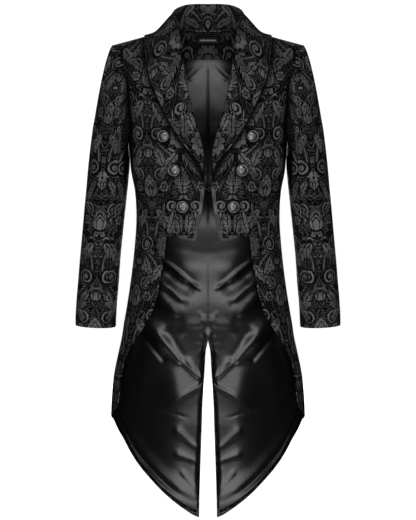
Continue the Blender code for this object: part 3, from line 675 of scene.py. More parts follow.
def wall(name, outer, inner, cloth, looks, turned_rows=0):
    """Closed wall between two grids: outer face and rim in the first look, inner face in the second.

    The inner face's first rows can be turned-in cloth of the first look.
    """
    rows, columns = outer.shape[:2]
    far = rows * columns
    number = np.arange(far).reshape(rows, columns)
    front_quads = grid_quads(number)
    back_quads = front_quads[:, OTHER_WAY] + far
    rim = np.concatenate([number[0, :-1], number[:-1, -1], number[-1, :0:-1], number[:0:-1, 0]])
    following = np.roll(rim, -1)
    rim_quads = np.stack([following, rim, rim + far, following + far], -1)
    normal = np.cross(outer[1, 0] - outer[0, 0], outer[0, 1] - outer[0, 0])
    faces = np.concatenate([front_quads, back_quads, rim_quads])
    if normal @ (outer[0, 0] - inner[0, 0]) > 0:
        faces = faces[:, ::-1]
    inside = np.ones((rows - 1, columns - 1))
    inside[:turned_rows] = 0
    slots = np.concatenate([np.zeros(len(front_quads)), inside.ravel(), np.zeros(len(rim_quads))])
    points = np.concatenate([outer.reshape(-1, 3), inner.reshape(-1, 3)])
    maps = np.concatenate([cloth.reshape(-1, 2)] * 2)
    made = add_mesh(name, points, faces, maps, slots, looks)
    corner = np.zeros(len(points), bool)
    corner[np.concatenate([rim, rim + far])] = True
    edge_ends = np.empty(len(made.data.edges) * 2, np.int32)
    made.data.edges.foreach_get("vertices", edge_ends)
    edge_ends = edge_ends.reshape(-1, 2)
    same_side = (edge_ends[:, 0] < far) == (edge_ends[:, 1] < far)
    on_rim = corner[edge_ends].all(1) & same_side
    made.data.attributes.new("sharp_edge", "BOOLEAN", "EDGE").data.foreach_set("value", on_rim)
    return made


def dress(piece, cad_node):
    """The piece stands for its CAD node and rides on the one body."""
    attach(piece, "root")
    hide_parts(cad_node)


def declare_sheet(cloth, outer):
    """Works out the cloth's flat size, its map's width and length and the area of its outer face, and keeps
    none of it.
    """
    width, length = (float(side) for side in np.ptp(cloth.reshape(-1, 2), axis=0))
    one = np.cross(outer[1:, :-1] - outer[:-1, :-1], outer[:-1, 1:] - outer[:-1, :-1])
    two = np.cross(outer[1:, :-1] - outer[1:, 1:], outer[:-1, 1:] - outer[1:, 1:])
    area = float((np.linalg.norm(one, axis=-1) + np.linalg.norm(two, axis=-1)).sum() / 2)
    area = min(max(area, 0.3 * width * length), width * length)


def seam_dip(columns, rows, width, height, sides):
    """How far a panel's outer face sinks beside those of its left, right, foot and head that are sewn."""
    column, row = columns[None, :], rows[:, None]
    away = {"left": column * width, "right": (1 - column) * width}
    away.update({"foot": row * height, "head": (1 - row) * height})
    dip = np.zeros((len(rows), len(columns)))
    for side in sides:
        dip = np.maximum(dip, np.exp(-away[side] / SEAM_DIP_REACH))
    return dip * SEAM_DIP


def satin_lift(x, z):
    """How far the satin stands inwards at a distance from the centre and height: its creases and slow waves."""
    across, up = np.abs(x) / MM, z / MM
    lift = np.zeros(np.broadcast(across, up).shape)
    for start_x, start_z, end_x, end_z, start_width, end_width, spread, start_lift, end_lift in SATIN_CREASES:
        run, climb = end_x - start_x, end_z - start_z
        nearest, gap = nearest_on_line(across, up, start_x, start_z, run, climb)
        below = (across - start_x) * climb - (up - start_z) * run > 0
        width = blend(start_width, end_width, nearest) * np.where(below, spread, 1)
        lift = lift + blend(start_lift, end_lift, nearest) * bell(gap, width)
    waves = 0.32 * np.sin(across / 17 + up / 31) * np.sin(up / 19 - across / 40)
    waves = waves + 0.7 * np.sin(across / 41 - up / 53 + 1.0)
    middle_seam = blend(0.8, 0.9, smooth_step((up + 420) / 90)) * (1 - np.exp(-across / 4.0))
    return (lift + waves + middle_seam) * MM


def cloth_piece(name, turns, levels, layer, reference, looks, **how):
    """Pair of panels cut from the body, as closed walls, and their outer face.

    how may hold lift, how far the cloth stands inwards at each point, dip, how far its outer face sinks, shift,
    how far its figure is moved, and joined, for a panel that is sewn to its twin down the centre back.
    """
    depth, thickness = layer
    surface, normal = body(turns, levels), body_normal(turns, levels)
    lift, dip = (np.broadcast_to(how.get(key, 0.0), turns.shape)[..., None] for key in ("lift", "dip"))
    outer = surface - normal * (depth + lift + dip)
    inner = surface - normal * (depth + thickness + lift - 0.5 * dip)
    if how.get("joined"):
        for face in (outer, inner):
            face[:, 0, 0] = np.where(face[:, 0, 2] > VENT_TOP + 1 * MM, -SEAM_GAP, face[:, 0, 0])
    cloth = cloth_place(turns, levels, reference) + how.get("shift", (0.0, 0.0))
    made = pair(name, outer, inner, cloth, looks, how.get("turned_rows", 0))
    return made, outer


def pair(name, outer, inner, cloth, looks, turned_rows=0):
    """A piece and its mirror twin with the same map: the wearer's left is +X."""
    made = []
    for side, sign in SIDES:
        flip = np.array((sign, 1, 1))
        piece = wall(f"cloth_{name}_{side}", outer * flip, inner * flip, cloth, looks, turned_rows)
        dress(piece, f"{name}_{side}")
        declare_sheet(cloth, outer)
        made.append(piece)
    return made


def tuck(levels):
    """How far a panel's arm edge reaches under the sleeve, growing over the first steps above the armpit."""
    return ARM_TUCK * smooth_step(np.asarray(levels) / 0.06)


def mark(pieces, name, values):
    """A number kept at each point of a wall's two faces, for its material."""
    both = np.concatenate([np.asarray(values, np.float32).ravel()] * 2)
    for piece in pieces:
        piece.data.attributes.new(name, "FLOAT", "POINT").data.foreach_set("value", both)


def mark_turned_foot(pieces, outer):
    """Marks the last step of cloth at a panel's foot, where it turns over and lies in its own shade."""
    up = grid_lengths(outer)[1]
    # That step is painted in shade
    mark(pieces, "edge", np.where(up < TURNED_STEP, SHADED_TURN, NO_EDGE))


def lapel_painted_shadow(points):
    """Painted shadow of the lapel on the front: how near the lapel's outer edge each point lies, seen from the
    front, as a bell.
    """
    line = LAPEL_STATIONS[:, 4:6] * MM
    start, step = line[:-1], np.diff(line, axis=0)
    gap = points[..., None, [0, 2]] - start
    share = np.clip((gap * step).sum(-1) / (step * step).sum(-1), 0, 1)
    away = np.linalg.norm(gap - share[..., None] * step, axis=-1).min(-1)
    weaker_above = blend(1.0, 0.7, smooth_step((points[..., 2] + 130 * MM) / (60 * MM)))
    return bell(away, LAPEL_SHADE) * weaker_above


def build_front():
    """Front from the waist to the shoulder: side seam and armhole outside, lapel fold and front edge inside."""
    columns = shares(60, 0.19)
    gaps = (SEAM_GAP / 2, 0)

    def foot(turns):
        reach = body(turns, WAIST_SEAM - ARMPIT)[..., 0]
        return WAIST_SEAM + SEAM_GAP / 2 - by_height(FRONT_HEM, reach)[..., 0]

    low_rows, high_rows = shares(68, 0.226), np.linspace(0, SEAM_LEVEL, 66)[1:]
    turns, levels = panel(steady(FRONT_SEAM_TURN), front_edge_turn, foot, ARMPIT, columns, low_rows, gaps)
    arm_edge = lambda levels: FRONT_SEAM_TURN - degrees_for(tuck(levels), FRONT_SEAM_TURN, levels)
    turns, levels = with_arch(turns, levels, arm_edge, front_edge_turn, columns, high_rows, gaps)
    dip = seam_dip(columns, np.linspace(0, 1, len(turns)), 0.19, 0.45, ("left", "right", "foot"))
    how = {"dip": dip, "shift": (-38 * MM, 0.0)}
    made, outer = cloth_piece("front", turns, levels, OUTSIDE, 150, ("brocade", "satin"), **how)
    across = grid_lengths(outer)[0]
    to_edge = (across[:, -1:] - across) / MM
    below = smooth_step((CLOSURE + 16 * MM - outer[..., 2]) / (18 * MM))
    mark(made, "edge", np.where(below > 0, to_edge + 20 * (1 - below), NO_EDGE))
    # The lapel's painted shadow on the front, kept for the brocade's colour
    mark(made, "lapel_painted_shadow", lapel_painted_shadow(outer))


def build_side():
    """Panel under the arm, from the foot of the armhole down to the tail's side."""
    columns, rows = shares(58, 0.19), shares(196, 0.72)
    turns, levels = panel(side_back_turn, steady(FRONT_SEAM_TURN), edge_height, ARMPIT, columns, rows)
    share = (turns - turns[:, :1]) / (turns[:, -1:] - turns[:, :1])
    levels = levels - ARMHOLE_DIP * np.sin(math.pi * share) * np.clip(1 + levels / (80 * MM), 0, 1)
    levels = levels + ARM_TUCK * np.sin(math.pi * share) * rows[:, None] ** 40
    dip = seam_dip(columns, rows, 0.19, 0.72, ("left", "right", "foot", "head"))
    how = {"dip": dip, "turned_rows": 12}
    made, outer = cloth_piece("side", turns, levels, OUTSIDE, 84, ("brocade", "satin"), **how)
    mark_turned_foot(made, outer)


def build_skirt():
    """Front of the skirt: hung from the waist seam and cut away towards the tail."""
    foot = lambda turns: np.full(turns.shape, SKIRT_FOOT)
    head = WAIST_SEAM - SEAM_GAP / 2
    columns, rows = shares(34, 0.11), shares(112, 0.39)
    turns, levels = panel(steady(FRONT_SEAM_TURN), cutaway_turn, foot, head, columns, rows, (SEAM_GAP / 2, 0))
    dip = seam_dip(columns, rows, 0.11, 0.39, ("left", "right", "foot", "head"))
    made, outer = cloth_piece("skirt", turns, levels, OUTSIDE, 150, ("brocade", "brocade"), dip=dip)
    mark_turned_foot(made, outer)


def build_back():
    """Back in one length from the neck and shoulder to the tip of the tail, open at the vent."""
    gaps = (0, SEAM_GAP / 2)
    seam = lambda levels: np.where(levels > 0, BACK_SEAM_TURN, side_back_turn(levels))
    neck_share = 0.4545
    columns = (np.linspace(0, neck_share, 22), np.linspace(neck_share, 1, 26)[1:], (0.006, 0.018, 0.982, 0.994))
    columns = np.sort(np.concatenate(columns))
    rows, high_rows = shares(240, 0.92), np.linspace(0, SEAM_LEVEL, 70)[1:]
    turns, levels = panel(vent_turn, seam, edge_height, ARMPIT, columns, rows, gaps)
    arm_edge = lambda levels: BACK_SEAM_TURN + degrees_for(tuck(levels), BACK_SEAM_TURN, levels)
    turns, levels = with_arch(turns, levels, vent_turn, arm_edge, columns, high_rows, gaps)
    dip = seam_dip(columns, np.linspace(0, 1, len(turns)), 0.16, 1.14, ("left", "right", "foot"))
    how = {"dip": dip, "joined": True}
    made, outer = cloth_piece("back", turns, levels, OUTSIDE, 0, ("brocade", "brocade"), **how)
    mark_turned_foot(made, outer)


def build_back_lining():
    """Satin inside the back, from the neck facing to just short of the tail's tip and edges."""
    columns, rows = shares(46, 0.15), shares(226, 0.90)

    def vent(levels):
        turn = vent_turn(levels)
        inset = 6 * MM * smooth_step((VENT_TOP - height_of(levels)) / (30 * MM))
        return turn + degrees_for(inset, turn, levels)

    foot = lambda turns: edge_height(turns) + LINING_RISE + 14 * MM * np.exp(-turns / 8)
    turns, levels = panel(vent, side_back_turn, foot, ARMPIT, columns, rows)
    top = blend(turns[-1:, :1], BACK_SEAM_TURN - 3.0, columns[None, :])
    share = np.linspace(0, 1, 50)[1:, None]
    ceiling = level_at(top, FACING_DROP - SEAM_GAP)
    turns = np.concatenate([turns, blend(turns[-1:], top, share)])
    levels = np.concatenate([levels, ceiling * share])
    how = {"lift": lining_lift(turns, levels, foot), "joined": True}
    cloth_piece("back_lining", turns, levels, INSIDE, 0, ("satin", "satin"), **how)


def lining_lift(turns, levels, foot):
    """The satin's fullness below the waist and its creases, which end at its sewn and hemmed edges."""
    place = body(turns, levels)
    x, z = place[..., 0], place[..., 2]
    low = smooth_step((-455 * MM - z) / (65 * MM))
    hem = smooth_step((z - foot(turns)) / (75 * MM))
    side = smooth_step((FRONT_SEAM_TURN - turns) / 16)
    vent = smooth_step((x - by_height(VENT_EDGE, np.clip(z, -1.13, -0.64))[..., 0] - 2 * MM) / (12 * MM))
    vent = np.maximum(vent, np.maximum(0.25, smooth_step((z - VENT_TOP) / (40 * MM))))
    fullness = 3.4 * MM * low * vent
    upper = smooth_step((z + 455 * MM) / (50 * MM)) * smooth_step((FACING_DROP - z) / (30 * MM))
    over_foot = 0.65 * (z - foot(turns)) / MM
    roll = 2.3 * MM * bell(over_foot, 6.5, 11) * smooth_step(over_foot / 6)
    roll = roll * smooth_step((z + 1110 * MM) / (80 * MM)) * smooth_step((-800 * MM - z) / (60 * MM))
    lift = (fullness + satin_lift(x, z) * np.maximum(low, 0.8 * upper) * vent) * hem * side
    return np.maximum(lift + roll * low, -0.8 * MM)


def build_side_lining():
    """Satin inside the tail's side, below the waist."""
    foot = lambda turns: edge_height(turns) + LINING_RISE
    columns, rows = shares(52, 0.19), shares(124, 0.45)
    turns, levels = panel(side_back_turn, steady(FRONT_SEAM_TURN), foot, WAIST_SEAM, columns, rows)
    lift = lining_lift(turns, levels, foot)
    cloth_piece("side_lining", turns, levels, INSIDE, 84, ("satin", "satin"), lift=lift)


def build_skirt_lining():
    """Satin inside the front of the skirt, just short of the cut-away edge."""
    foot = lambda turns: np.full(turns.shape, SKIRT_FOOT + 22 * MM)
    gaps = (SEAM_GAP / 2, LINING_MARGIN)
    columns, rows = shares(28, 0.10), shares(92, 0.36)
    head = WAIST_SEAM - SEAM_GAP
    turns, levels = panel(steady(FRONT_SEAM_TURN), cutaway_turn, foot, head, columns, rows, gaps)
    cloth_piece("skirt_lining", turns, levels, INSIDE, 130, ("satin", "satin"))


def build_neck_facing():
    """Brocade facing inside the back, between the neck edge and the lining's straight top."""
    turns = np.linspace(0.05, BACK_NECK_TURN, 40)[None, :]
    share = np.linspace(0, 1, 22)[:, None]
    levels = blend(level_at(turns, FACING_DROP + SEAM_GAP), 0.985, share)
    turns = np.broadcast_to(turns, levels.shape)
    shift = -cloth_place(turns[:1, :1], levels[:1, :1], 0)[0, 0]
    how = {"held": "stretched", "joined": True, "shift": shift}
    cloth_piece("neck_facing", turns, levels, INSIDE, 0, ("brocade", "brocade"), **how)


def build_label():
    """Bare woven label on the neck facing, under the collar seam."""
    rows, columns = 15, 45
    across = np.linspace(-1, 1, columns)
    height = np.linspace(LABEL_BOTTOM, LABEL_TOP, rows)[:, None]
    reach = turn_where(lambda z: LABEL_HALF_WIDTH, np.array([0.7]), 0, 30)
    turns = np.broadcast_to(np.abs(across) * reach, (rows, columns))
    levels = level_at(turns, np.broadcast_to(height, turns.shape))
    surface, normal = body(turns, levels), body_normal(turns, levels)
    flip = np.stack([np.sign(across + 1e-12), np.ones(columns), np.ones(columns)], -1)[None]
    depth = sum(INSIDE) + 0.9 * MM
    to_end = 2.0 * np.minimum(height - LABEL_BOTTOM, LABEL_TOP - height) / MM
    crown = 0.25 * MM * smooth_step(np.minimum(1 - np.abs(across), to_end) * 4)[..., None]
    outer = (surface - normal * depth) * flip
    inner = (surface - normal * (depth + LABEL) - normal * crown) * flip
    cloth = np.stack(np.broadcast_arrays(across * LABEL_HALF_WIDTH, height), -1)
    piece = wall("woven_label", outer, inner, cloth, ("label", "label"))
    dress(piece, "label")
    declare_sheet(cloth, outer)


def armhole_line():
    """Armhole from the shoulder tip down the front, under the arm and up the back: points and normals."""
    samples = 181
    down = np.linspace(1, 0, samples)
    under = np.linspace(FRONT_SEAM_TURN, BACK_SEAM_TURN, samples)
    dip = -ARMHOLE_DIP * np.sin(math.pi * (FRONT_SEAM_TURN - under) / (FRONT_SEAM_TURN - BACK_SEAM_TURN))
    front, back = np.full(samples, FRONT_SEAM_TURN), np.full(samples - 1, BACK_SEAM_TURN)
    turns = np.concatenate([front, under[1:], back])
    levels = np.concatenate([down, dip[1:], down[::-1][1:]])
    points = body(turns, levels)
    steps = np.linalg.norm(np.diff(points, axis=0), axis=1)
    along = np.concatenate([[0], np.cumsum(steps)]) / steps.sum()
    degrees = np.arange(361) / 360
    points, normals = (read_rows(degrees, along, rows) for rows in (points, body_normal(turns, levels)))
    reach = np.arange(-40, 41)
    normals = sum(np.roll(normals[:360], shift, 0) * weight for shift, weight in zip(reach, bell(reach, 16)))
    normals = normals / np.linalg.norm(normals, axis=1, keepdims=True)
    return points, np.concatenate([normals, normals[:1]])


def sleeve_ring(turn, height):
    """Sleeve below the armhole: ovals on a slanting centre line, turn 0 outside and 90 in front."""
    centre_x, centre_y, half_width, half_depth = np.moveaxis(by_height(SLEEVE_RINGS, height), -1, 0)
    sine, cosine = np.sin(np.radians(turn)), np.cos(np.radians(turn))
    across_x = half_width * signed_power(cosine, SLEEVE_SQUARE)
    y = centre_y - half_depth * signed_power(sine, SLEEVE_SQUARE)
    return np.stack(np.broadcast_arrays(centre_x + across_x, y, height + CUFF_TILT * across_x), -1)


def sleeve(turn, level):
    """Sleeve surface: level 0 at the armhole, 1 at the first full ring and 2 at the cuff.

    The cap is a cubic Bezier curve at each turn, from the armhole out and down to the first full ring.
    """
    turn, level = np.broadcast_arrays(np.asarray(turn, float), np.asarray(level, float))
    height = blend(SLEEVE_TOP_RING, CUFF, np.clip(level - 1, 0, 1))
    lower = sleeve_ring(turn, height)
    start, proud = (read_rows(turn % 360, np.arange(361), rows) for rows in ARMHOLE)
    sine, cosine = np.sin(np.radians(turn)), np.cos(np.radians(turn))
    under = ((1 - cosine) / 2) ** 3
    out_x = blend(0.9, 0.10, under)
    out_y = -0.35 * sine * (1 - under)
    out_z = blend(-0.25 - 0.45 * ((1 + cosine) / 2) ** 3, -1.0, under)
    out = np.stack([out_x, out_y, out_z], -1)
    out = out / np.linalg.norm(out, axis=-1, keepdims=True)
    start = start + proud * 0.9 * MM + out * 0.8 * MM
    end = sleeve_ring(turn, np.full(turn.shape, SLEEVE_TOP_RING))
    fall = (start - end)[..., 2:]
    axis = np.array((-0.10, 0.0, 1.0))
    u = np.clip(level, 0, 1)[..., None]
    near, far = start + out * 20 * MM, end + axis * fall * 0.45
    upper = (1 - u) ** 3 * start + 3 * u * (1 - u) ** 2 * near + 3 * u * u * (1 - u) * far + u**3 * end
    return np.where((level > 1)[..., None], lower, upper)


def build_sleeves():
    """Two-piece sleeves: a wide upper piece outside and a narrow under piece against the body."""
    cap = np.linspace(0, 1, 52) ** 1.15
    arm = np.concatenate([np.linspace(1, 2, 100)[1:-1], (1.993, 1.998, 2)])
    levels = np.concatenate([(0, 0.004), cap[1:], arm])
    full_ring = np.searchsorted(levels, 1.0)
    turn_gap, step, rise = 0.18, 0.5, 0.004
    pieces = (
        ("upper_sleeve", -UPPER_SLEEVE_TURN + turn_gap, UPPER_SLEEVE_TURN - turn_gap, 66, 0.22),
        ("under_sleeve", UPPER_SLEEVE_TURN + turn_gap, 360 - UPPER_SLEEVE_TURN - turn_gap, 34, 0.11),
    )
    for name, first, last, steps, width in pieces:
        columns = shares(steps, width)
        turns = blend(first, last, columns)[None, :]
        around = sleeve(turns + step, levels[:, None]) - sleeve(turns - step, levels[:, None])
        low, high = np.clip(levels - rise, 0, 2), np.clip(levels + rise, 0, 2)
        downward = sleeve(turns, high[:, None]) - sleeve(turns, low[:, None])
        normal = np.cross(downward, around)
        normal = normal / np.linalg.norm(normal, axis=-1, keepdims=True)
        outer = sleeve(turns, levels[:, None])
        facing = np.sum(normal[-1] * (outer[-1] - outer[-1].mean(0)), -1).mean()
        normal = normal * np.sign(facing)
        crease = along_lines(turns, outer[..., 2] / MM, SLEEVE_CREASES, 0.85)
        dip = seam_dip(columns, 1 - np.clip(levels / 2, 0, 1), width, 0.55, ("left", "right", "foot"))
        dip = dip - crease * smooth_step(levels[:, None] * 2.4)
        across, down = grid_lengths(outer)
        across = across - across[:, across.shape[1] // 2][:, None]
        cloth = np.stack([across, down[full_ring] - down], -1)
        outer = outer - normal * dip[..., None]
        inner = outer - normal * (SHELL - 0.4 * np.maximum(dip, 0)[..., None])
        pair(name, outer, inner, cloth, ("brocade", "satin"))


def body_skin():
    """Fine net of the body's right half, for laying the collar and the buttons on it."""
    half_turns = (np.linspace(0.01, BACK_SEAM_TURN, 60), np.linspace(FRONT_SEAM_TURN, 179.9, 60))
    levels = np.concatenate([np.linspace(-0.30, 0, 30), np.linspace(0.02, 0.998, 60)])[:, None]
    points, faces = [], []
    for turns in half_turns:
        grid = body(turns[None, :], levels)
        number = np.arange(grid[..., 0].size).reshape(grid.shape[:2]) + sum(len(p) for p in points)
        points.append(grid.reshape(-1, 3))
        faces += grid_quads(number)[:, OTHER_WAY].tolist()
    return BVHTree.FromPolygons(np.concatenate(points).tolist(), faces)


def front_place(x, z):
    """Point and outward normal of the front's cloth at that distance from the centre and height."""
    place, normal = SKIN.ray_cast(Vector((x, -1, z)), Vector((0, 1, 0)))[:2]
    if place is None:
        place, normal = SKIN.find_nearest(Vector((x, -0.05, z)))[:2]
    return np.array(place), np.array(normal if normal.y < 0 else -normal)


def over_body(point, least, most=1.0):
    """The point, moved along the cloth's normal until its height over the body is between two distances."""
    place, normal = SKIN.find_nearest(Vector(point))[:2]
    place, normal = np.array(place), np.array(normal)
    centre = np.array((0.6 * place[0], 0, min(place[2], -60 * MM)))
    normal = normal if normal @ (place - centre) > 0 else -normal
    height = (point - place) @ normal
    return point + normal * (min(max(height, least), most) - height)


def collar_controls():
    """Rows of the collar from the centre back to the lapel's foot: base, roll, belly and edge points."""
    rows = []
    for turn, *numbers in NECK_STATIONS:
        base = body(np.array(max(turn, 0.01)), np.array(1.0))
        roll, belly, edge = np.array(numbers).reshape(3, 3) * MM
        rows.append((base, roll, belly, over_body(edge, LEAF_LIFT, LEAF_LIFT)))
    for height, roll_x, roll_z, stand_off, edge_x, edge_z, lift in LAPEL_STATIONS * MM:
        turn_guess = np.linspace(-0.30, 0.999, 400)
        line = body(front_edge_turn(turn_guess), turn_guess)
        order = np.argsort(line[:, 2])
        base = read_rows(height, line[order, 2], line[order])
        edge, edge_normal = front_place(edge_x, edge_z)
        edge = edge + edge_normal * LEAF_LIFT
        roll_y = base[1] + (stand_off - 3 * MM if stand_off > 2 * MM else -1 * MM)
        roll = np.array((roll_x, roll_y, roll_z))
        middle_x, middle_z = blend(roll_x, edge_x, 0.5), blend(roll_z, edge_z, 0.5)
        belly, belly_normal = front_place(middle_x, middle_z)
        rows.append((base, roll, belly + belly_normal * lift, edge))
    return np.array(rows)


def roll_radius(share):
    """Radius of the collar's fold, from the neck through the lapel to its foot."""
    lapel = blend(ROLL_RADIUS_NECK, ROLL_RADIUS_LAPEL, np.clip(share / 0.4, 0, 1))
    return blend(lapel, ROLL_RADIUS_TIP, smooth_step((share - 0.75) / 0.25))


def collar_surface(rows):
    """Middle of the collar: up the stand, round the fold and down the leaf, for each row."""
    stand_steps, fold_steps, leaf_steps = 3, 5, 6
    controls = collar_controls()
    stations = len(controls)
    table = np.concatenate([np.arange(stations)[:, None], controls.reshape(stations, -1)], 1)
    grid = []
    for at in np.linspace(0, stations - 1, rows):
        base, roll, belly, edge = spline(table, np.array(at)).reshape(4, 3)
        radius = roll_radius(at / (stations - 1))
        up = (roll - base) / np.linalg.norm(roll - base)
        out = np.array((base[0] + 1e-6, base[1] - NECK_AXIS_Y, 0.0))
        out = out - up * (out @ up)
        out = out / np.linalg.norm(out)
        foot = base + up * FOOT_LIFT
        centre = roll - up * radius + out * radius
        turn = np.radians(np.linspace(0, 180, fold_steps))[:, None]
        fold = centre - out * radius * np.cos(turn) + up * radius * np.sin(turn)
        stand = blend(foot, fold[0], np.linspace(0, 1, stand_steps)[:-1, None])
        u = np.linspace(0, 1, leaf_steps)[1:, None]
        leaf = (1 - u) ** 2 * fold[-1] + 2 * u * (1 - u) * belly + u * u * edge
        leaf = np.array([over_body(p, LEAF_LIFT) for p in leaf])
        grid.append(np.concatenate([stand, fold, leaf]))
    return np.array(grid)


def finer(grid, parts, axis):
    """A grid with more lines between its own along one axis, on smooth curves through them."""
    grid = np.moveaxis(grid, axis, 0)
    table = np.concatenate([np.arange(len(grid))[:, None], grid.reshape(len(grid), -1)], 1)
    at = np.arange((len(grid) - 1) * parts + 1) / parts
    dense = spline(table, at).reshape(len(at), *grid.shape[1:])
    return np.moveaxis(dense, 0, axis)


def build_collar():
    """Shawl collar in two halves that meet at the centre back: stand, fold and a leaf that is the lapel."""
    middle = collar_surface(26)
    middle[0, :, 0] = SEAM_GAP / 2
    middle = finer(finer(middle, 6, 0), 3, 1)
    middle[0, :, 0] = SEAM_GAP / 2
    mirrored = np.concatenate([middle[1:2] * (-1, 1, 1), middle])
    along = np.gradient(mirrored, axis=0)[1:]
    normal = np.cross(np.gradient(middle, axis=1), along)
    normal = normal / np.linalg.norm(normal, axis=-1, keepdims=True)
    across, down = grid_lengths(middle)
    width, fold = across[:, -1:], across[:, LEAF_COLUMN, None]
    edge = (width - across) / MM
    dip = 0.45 * MM * (np.exp(-edge / 1.2) + 0.6 * bell(edge, 1.1, 5))[..., None]
    to_edge = np.clip((across - fold) / (width - fold), 0, 1)
    along_share = np.linspace(0, 1, len(middle))[:, None]
    spring = smooth_step((along_share - 0.22) / 0.16) * smooth_step((1.0 - along_share) / 0.10)
    middle = middle - normal * (LAPEL_SPRING * spring * to_edge**1.6)[..., None]
    outer = middle - normal * (COLLAR / 2 - dip)
    inner = middle + normal * COLLAR / 2
    cloth = np.stack(np.broadcast_arrays(across - fold + 4 * MM, -down[:, LEAF_COLUMN, None]), -1)
    made = pair("collar", outer, inner, cloth, ("brocade", "brocade"))
    # The collar's outer edge is painted in shade, as a turned edge
    mark(made, "edge", np.where(edge < 1.8, SHADED_TURN, NO_EDGE))


def build_buttons():
    """Domed metal buttons on their shanks: a turned profile with a raised rim and a rosette in low relief."""
    share = np.concatenate([np.linspace(0, 0.34, 22), np.linspace(0.36, 0.72, 26), np.linspace(0.76, 1, 8)])
    share = share[:, None]
    radius, height = np.moveaxis(spline(BUTTON_PROFILE, share), -1, 0)
    radius = np.maximum(radius, 0)
    sides = 96
    around = np.radians(np.linspace(0, 360, sides + 1)[:-1])
    petals = np.abs(np.cos(4 * around)) ** 0.5 - 0.6
    petals = 0.42 * petals * bell(radius, 2.2, 5.4) * smooth_step(radius / 1.5)
    boss = 0.55 * np.exp(-((radius / 2.0) ** 4)) - 0.25 * bell(radius, 0.5, 2.6)
    beads = 0.22 * (share > 0.4) * bell(share, 0.05, 0.5) * np.cos(32 * around)
    lift = height + (petals + boss) * (share < 0.35) + beads
    local = np.stack([radius * np.cos(around), radius * np.sin(around), lift], -1).reshape(-1, 3) * MM
    number = np.arange(len(local)).reshape(-1, sides)
    faces = turned_quads(number).tolist() + [number[-1].tolist()]
    for count, (x, z) in enumerate(BUTTONS * MM, 1):
        place, normal = front_place(x, z)
        for side, sign in SIDES:
            facing = Vector((sign * normal[0], normal[1], normal[2]))
            turn = np.array(facing.to_track_quat("Z", "Y").to_matrix())
            points = local @ turn.T + np.array((sign * place[0], place[1], place[2]))
            piece = metal_object(f"metal_button_{count}_{side}", points, faces, "button")
            dress(piece, f"button_{count}_{side}")


def metal_object(name, points, faces, look):
    """Closed shape with its doubled points joined, its faces outwards and its corners kept sharp."""
    shape = bmesh.new()
    corners = [shape.verts.new(point) for point in points]
    for face in faces:
        shape.faces.new([corners[i] for i in face])
    bmesh.ops.remove_doubles(shape, verts=shape.verts, dist=0.000002)
    bmesh.ops.recalc_face_normals(shape, faces=shape.faces)
    mesh = bpy.data.meshes.new(name)
    shape.to_mesh(mesh)
    shape.free()
    mesh.materials.append(LOOKS[look])
    mesh.shade_smooth()
    mesh.set_sharp_from_angle(angle=math.radians(60))
    return new_object(name, mesh)


def wire(name, cad_node, path, plane_normal, closed=False):
    """Bent round wire along a path of points: a circle carried along it, with flat ends when it is open."""
    path, sides = np.asarray(path), 12
    ahead = np.roll(path, -1, 0) - np.roll(path, 1, 0) if closed else np.gradient(path, axis=0)
    ahead = ahead / np.linalg.norm(ahead, axis=1, keepdims=True)
    side = np.cross(ahead, plane_normal)
    turns = np.radians(np.arange(sides) * 360 / sides)[None, :, None]
    around = side[:, None] * np.cos(turns) + np.array(plane_normal) * np.sin(turns)
    points = (path[:, None] + around * WIRE_RADIUS).reshape(-1, 3)
    number = np.arange(len(points)).reshape(-1, sides)
    caps = [] if closed else [number[0].tolist(), number[-1, ::-1].tolist()]
    piece = metal_object(name, points, turned_quads(number, closed).tolist() + caps, "wire")
    dress(piece, cad_node)


def build_hook_and_eye():
    """Hook on the right front's edge, caught round the eye on the left front's edge."""
    left_edge = body(front_edge_turn(np.array([CLOSURE - ARMPIT])), np.array([CLOSURE - ARMPIT]))[0]
    plane_y = left_edge[1] + SHELL / 2
    eye_x = left_edge[0] - SEAM_GAP - WIRE_RADIUS - EYE_RADIUS
    ring_turns = np.radians(np.arange(0, 360, 7.5))
    eye = [(eye_x + EYE_RADIUS * math.cos(a), plane_y, CLOSURE + EYE_RADIUS * math.sin(a)) for a in ring_turns]
    wire("wire_eye", "eye", eye, (0.0, 1.0, 0.0), closed=True)
    caught_x = eye_x - EYE_RADIUS
    reach = 1.7 * MM
    start = (-left_edge[0] + SEAM_GAP, plane_y - reach, CLOSURE)
    bend = np.radians(np.linspace(-90, 90, 19))
    hook_turn = [(caught_x + reach * math.cos(a), plane_y + reach * math.sin(a), CLOSURE) for a in bend]
    hook_end = (caught_x - 2.2 * MM, plane_y + reach, CLOSURE)
    wire("wire_hook", "hook", [start, *hook_turn, hook_end], (0.0, 0.0, 1.0))


class Reading:
    """A number worked out at each point of a surface: arithmetic on readings adds Math nodes."""

    def __init__(self, tree, socket):
        self.tree, self.socket = tree, socket

    def join(self, operation, *others):
        made = node(self.tree, "ShaderNodeMath", {"operation": operation})
        for entry, value in zip(made.inputs, (self, *others)):
            feed(self.tree, entry, value)
        return Reading(self.tree, made.outputs[0])

    def __add__(self, other):
        return self.join("ADD", other)

    def __sub__(self, other):
        return self.join("SUBTRACT", other)

    def __mul__(self, other):
        return self.join("MULTIPLY", other)

    def __truediv__(self, other):
        return self.join("DIVIDE", other)

    def __pow__(self, other):
        return self.join("POWER", other)

    def __neg__(self):
        return self.join("MULTIPLY", -1.0)

    def __abs__(self):
        return self.join("ABSOLUTE")

    def least(self, other):
        return self.join("MINIMUM", other)

    def most(self, other):
        return self.join("MAXIMUM", other)


def feed(tree, entry, value):
    """A socket gets a reading, another socket, or a plain value."""
    if isinstance(value, Reading):
        tree.links.new(value.socket, entry)
    elif isinstance(value, bpy.types.NodeSocket):
        tree.links.new(value, entry)
    else:
        entry.default_value = value


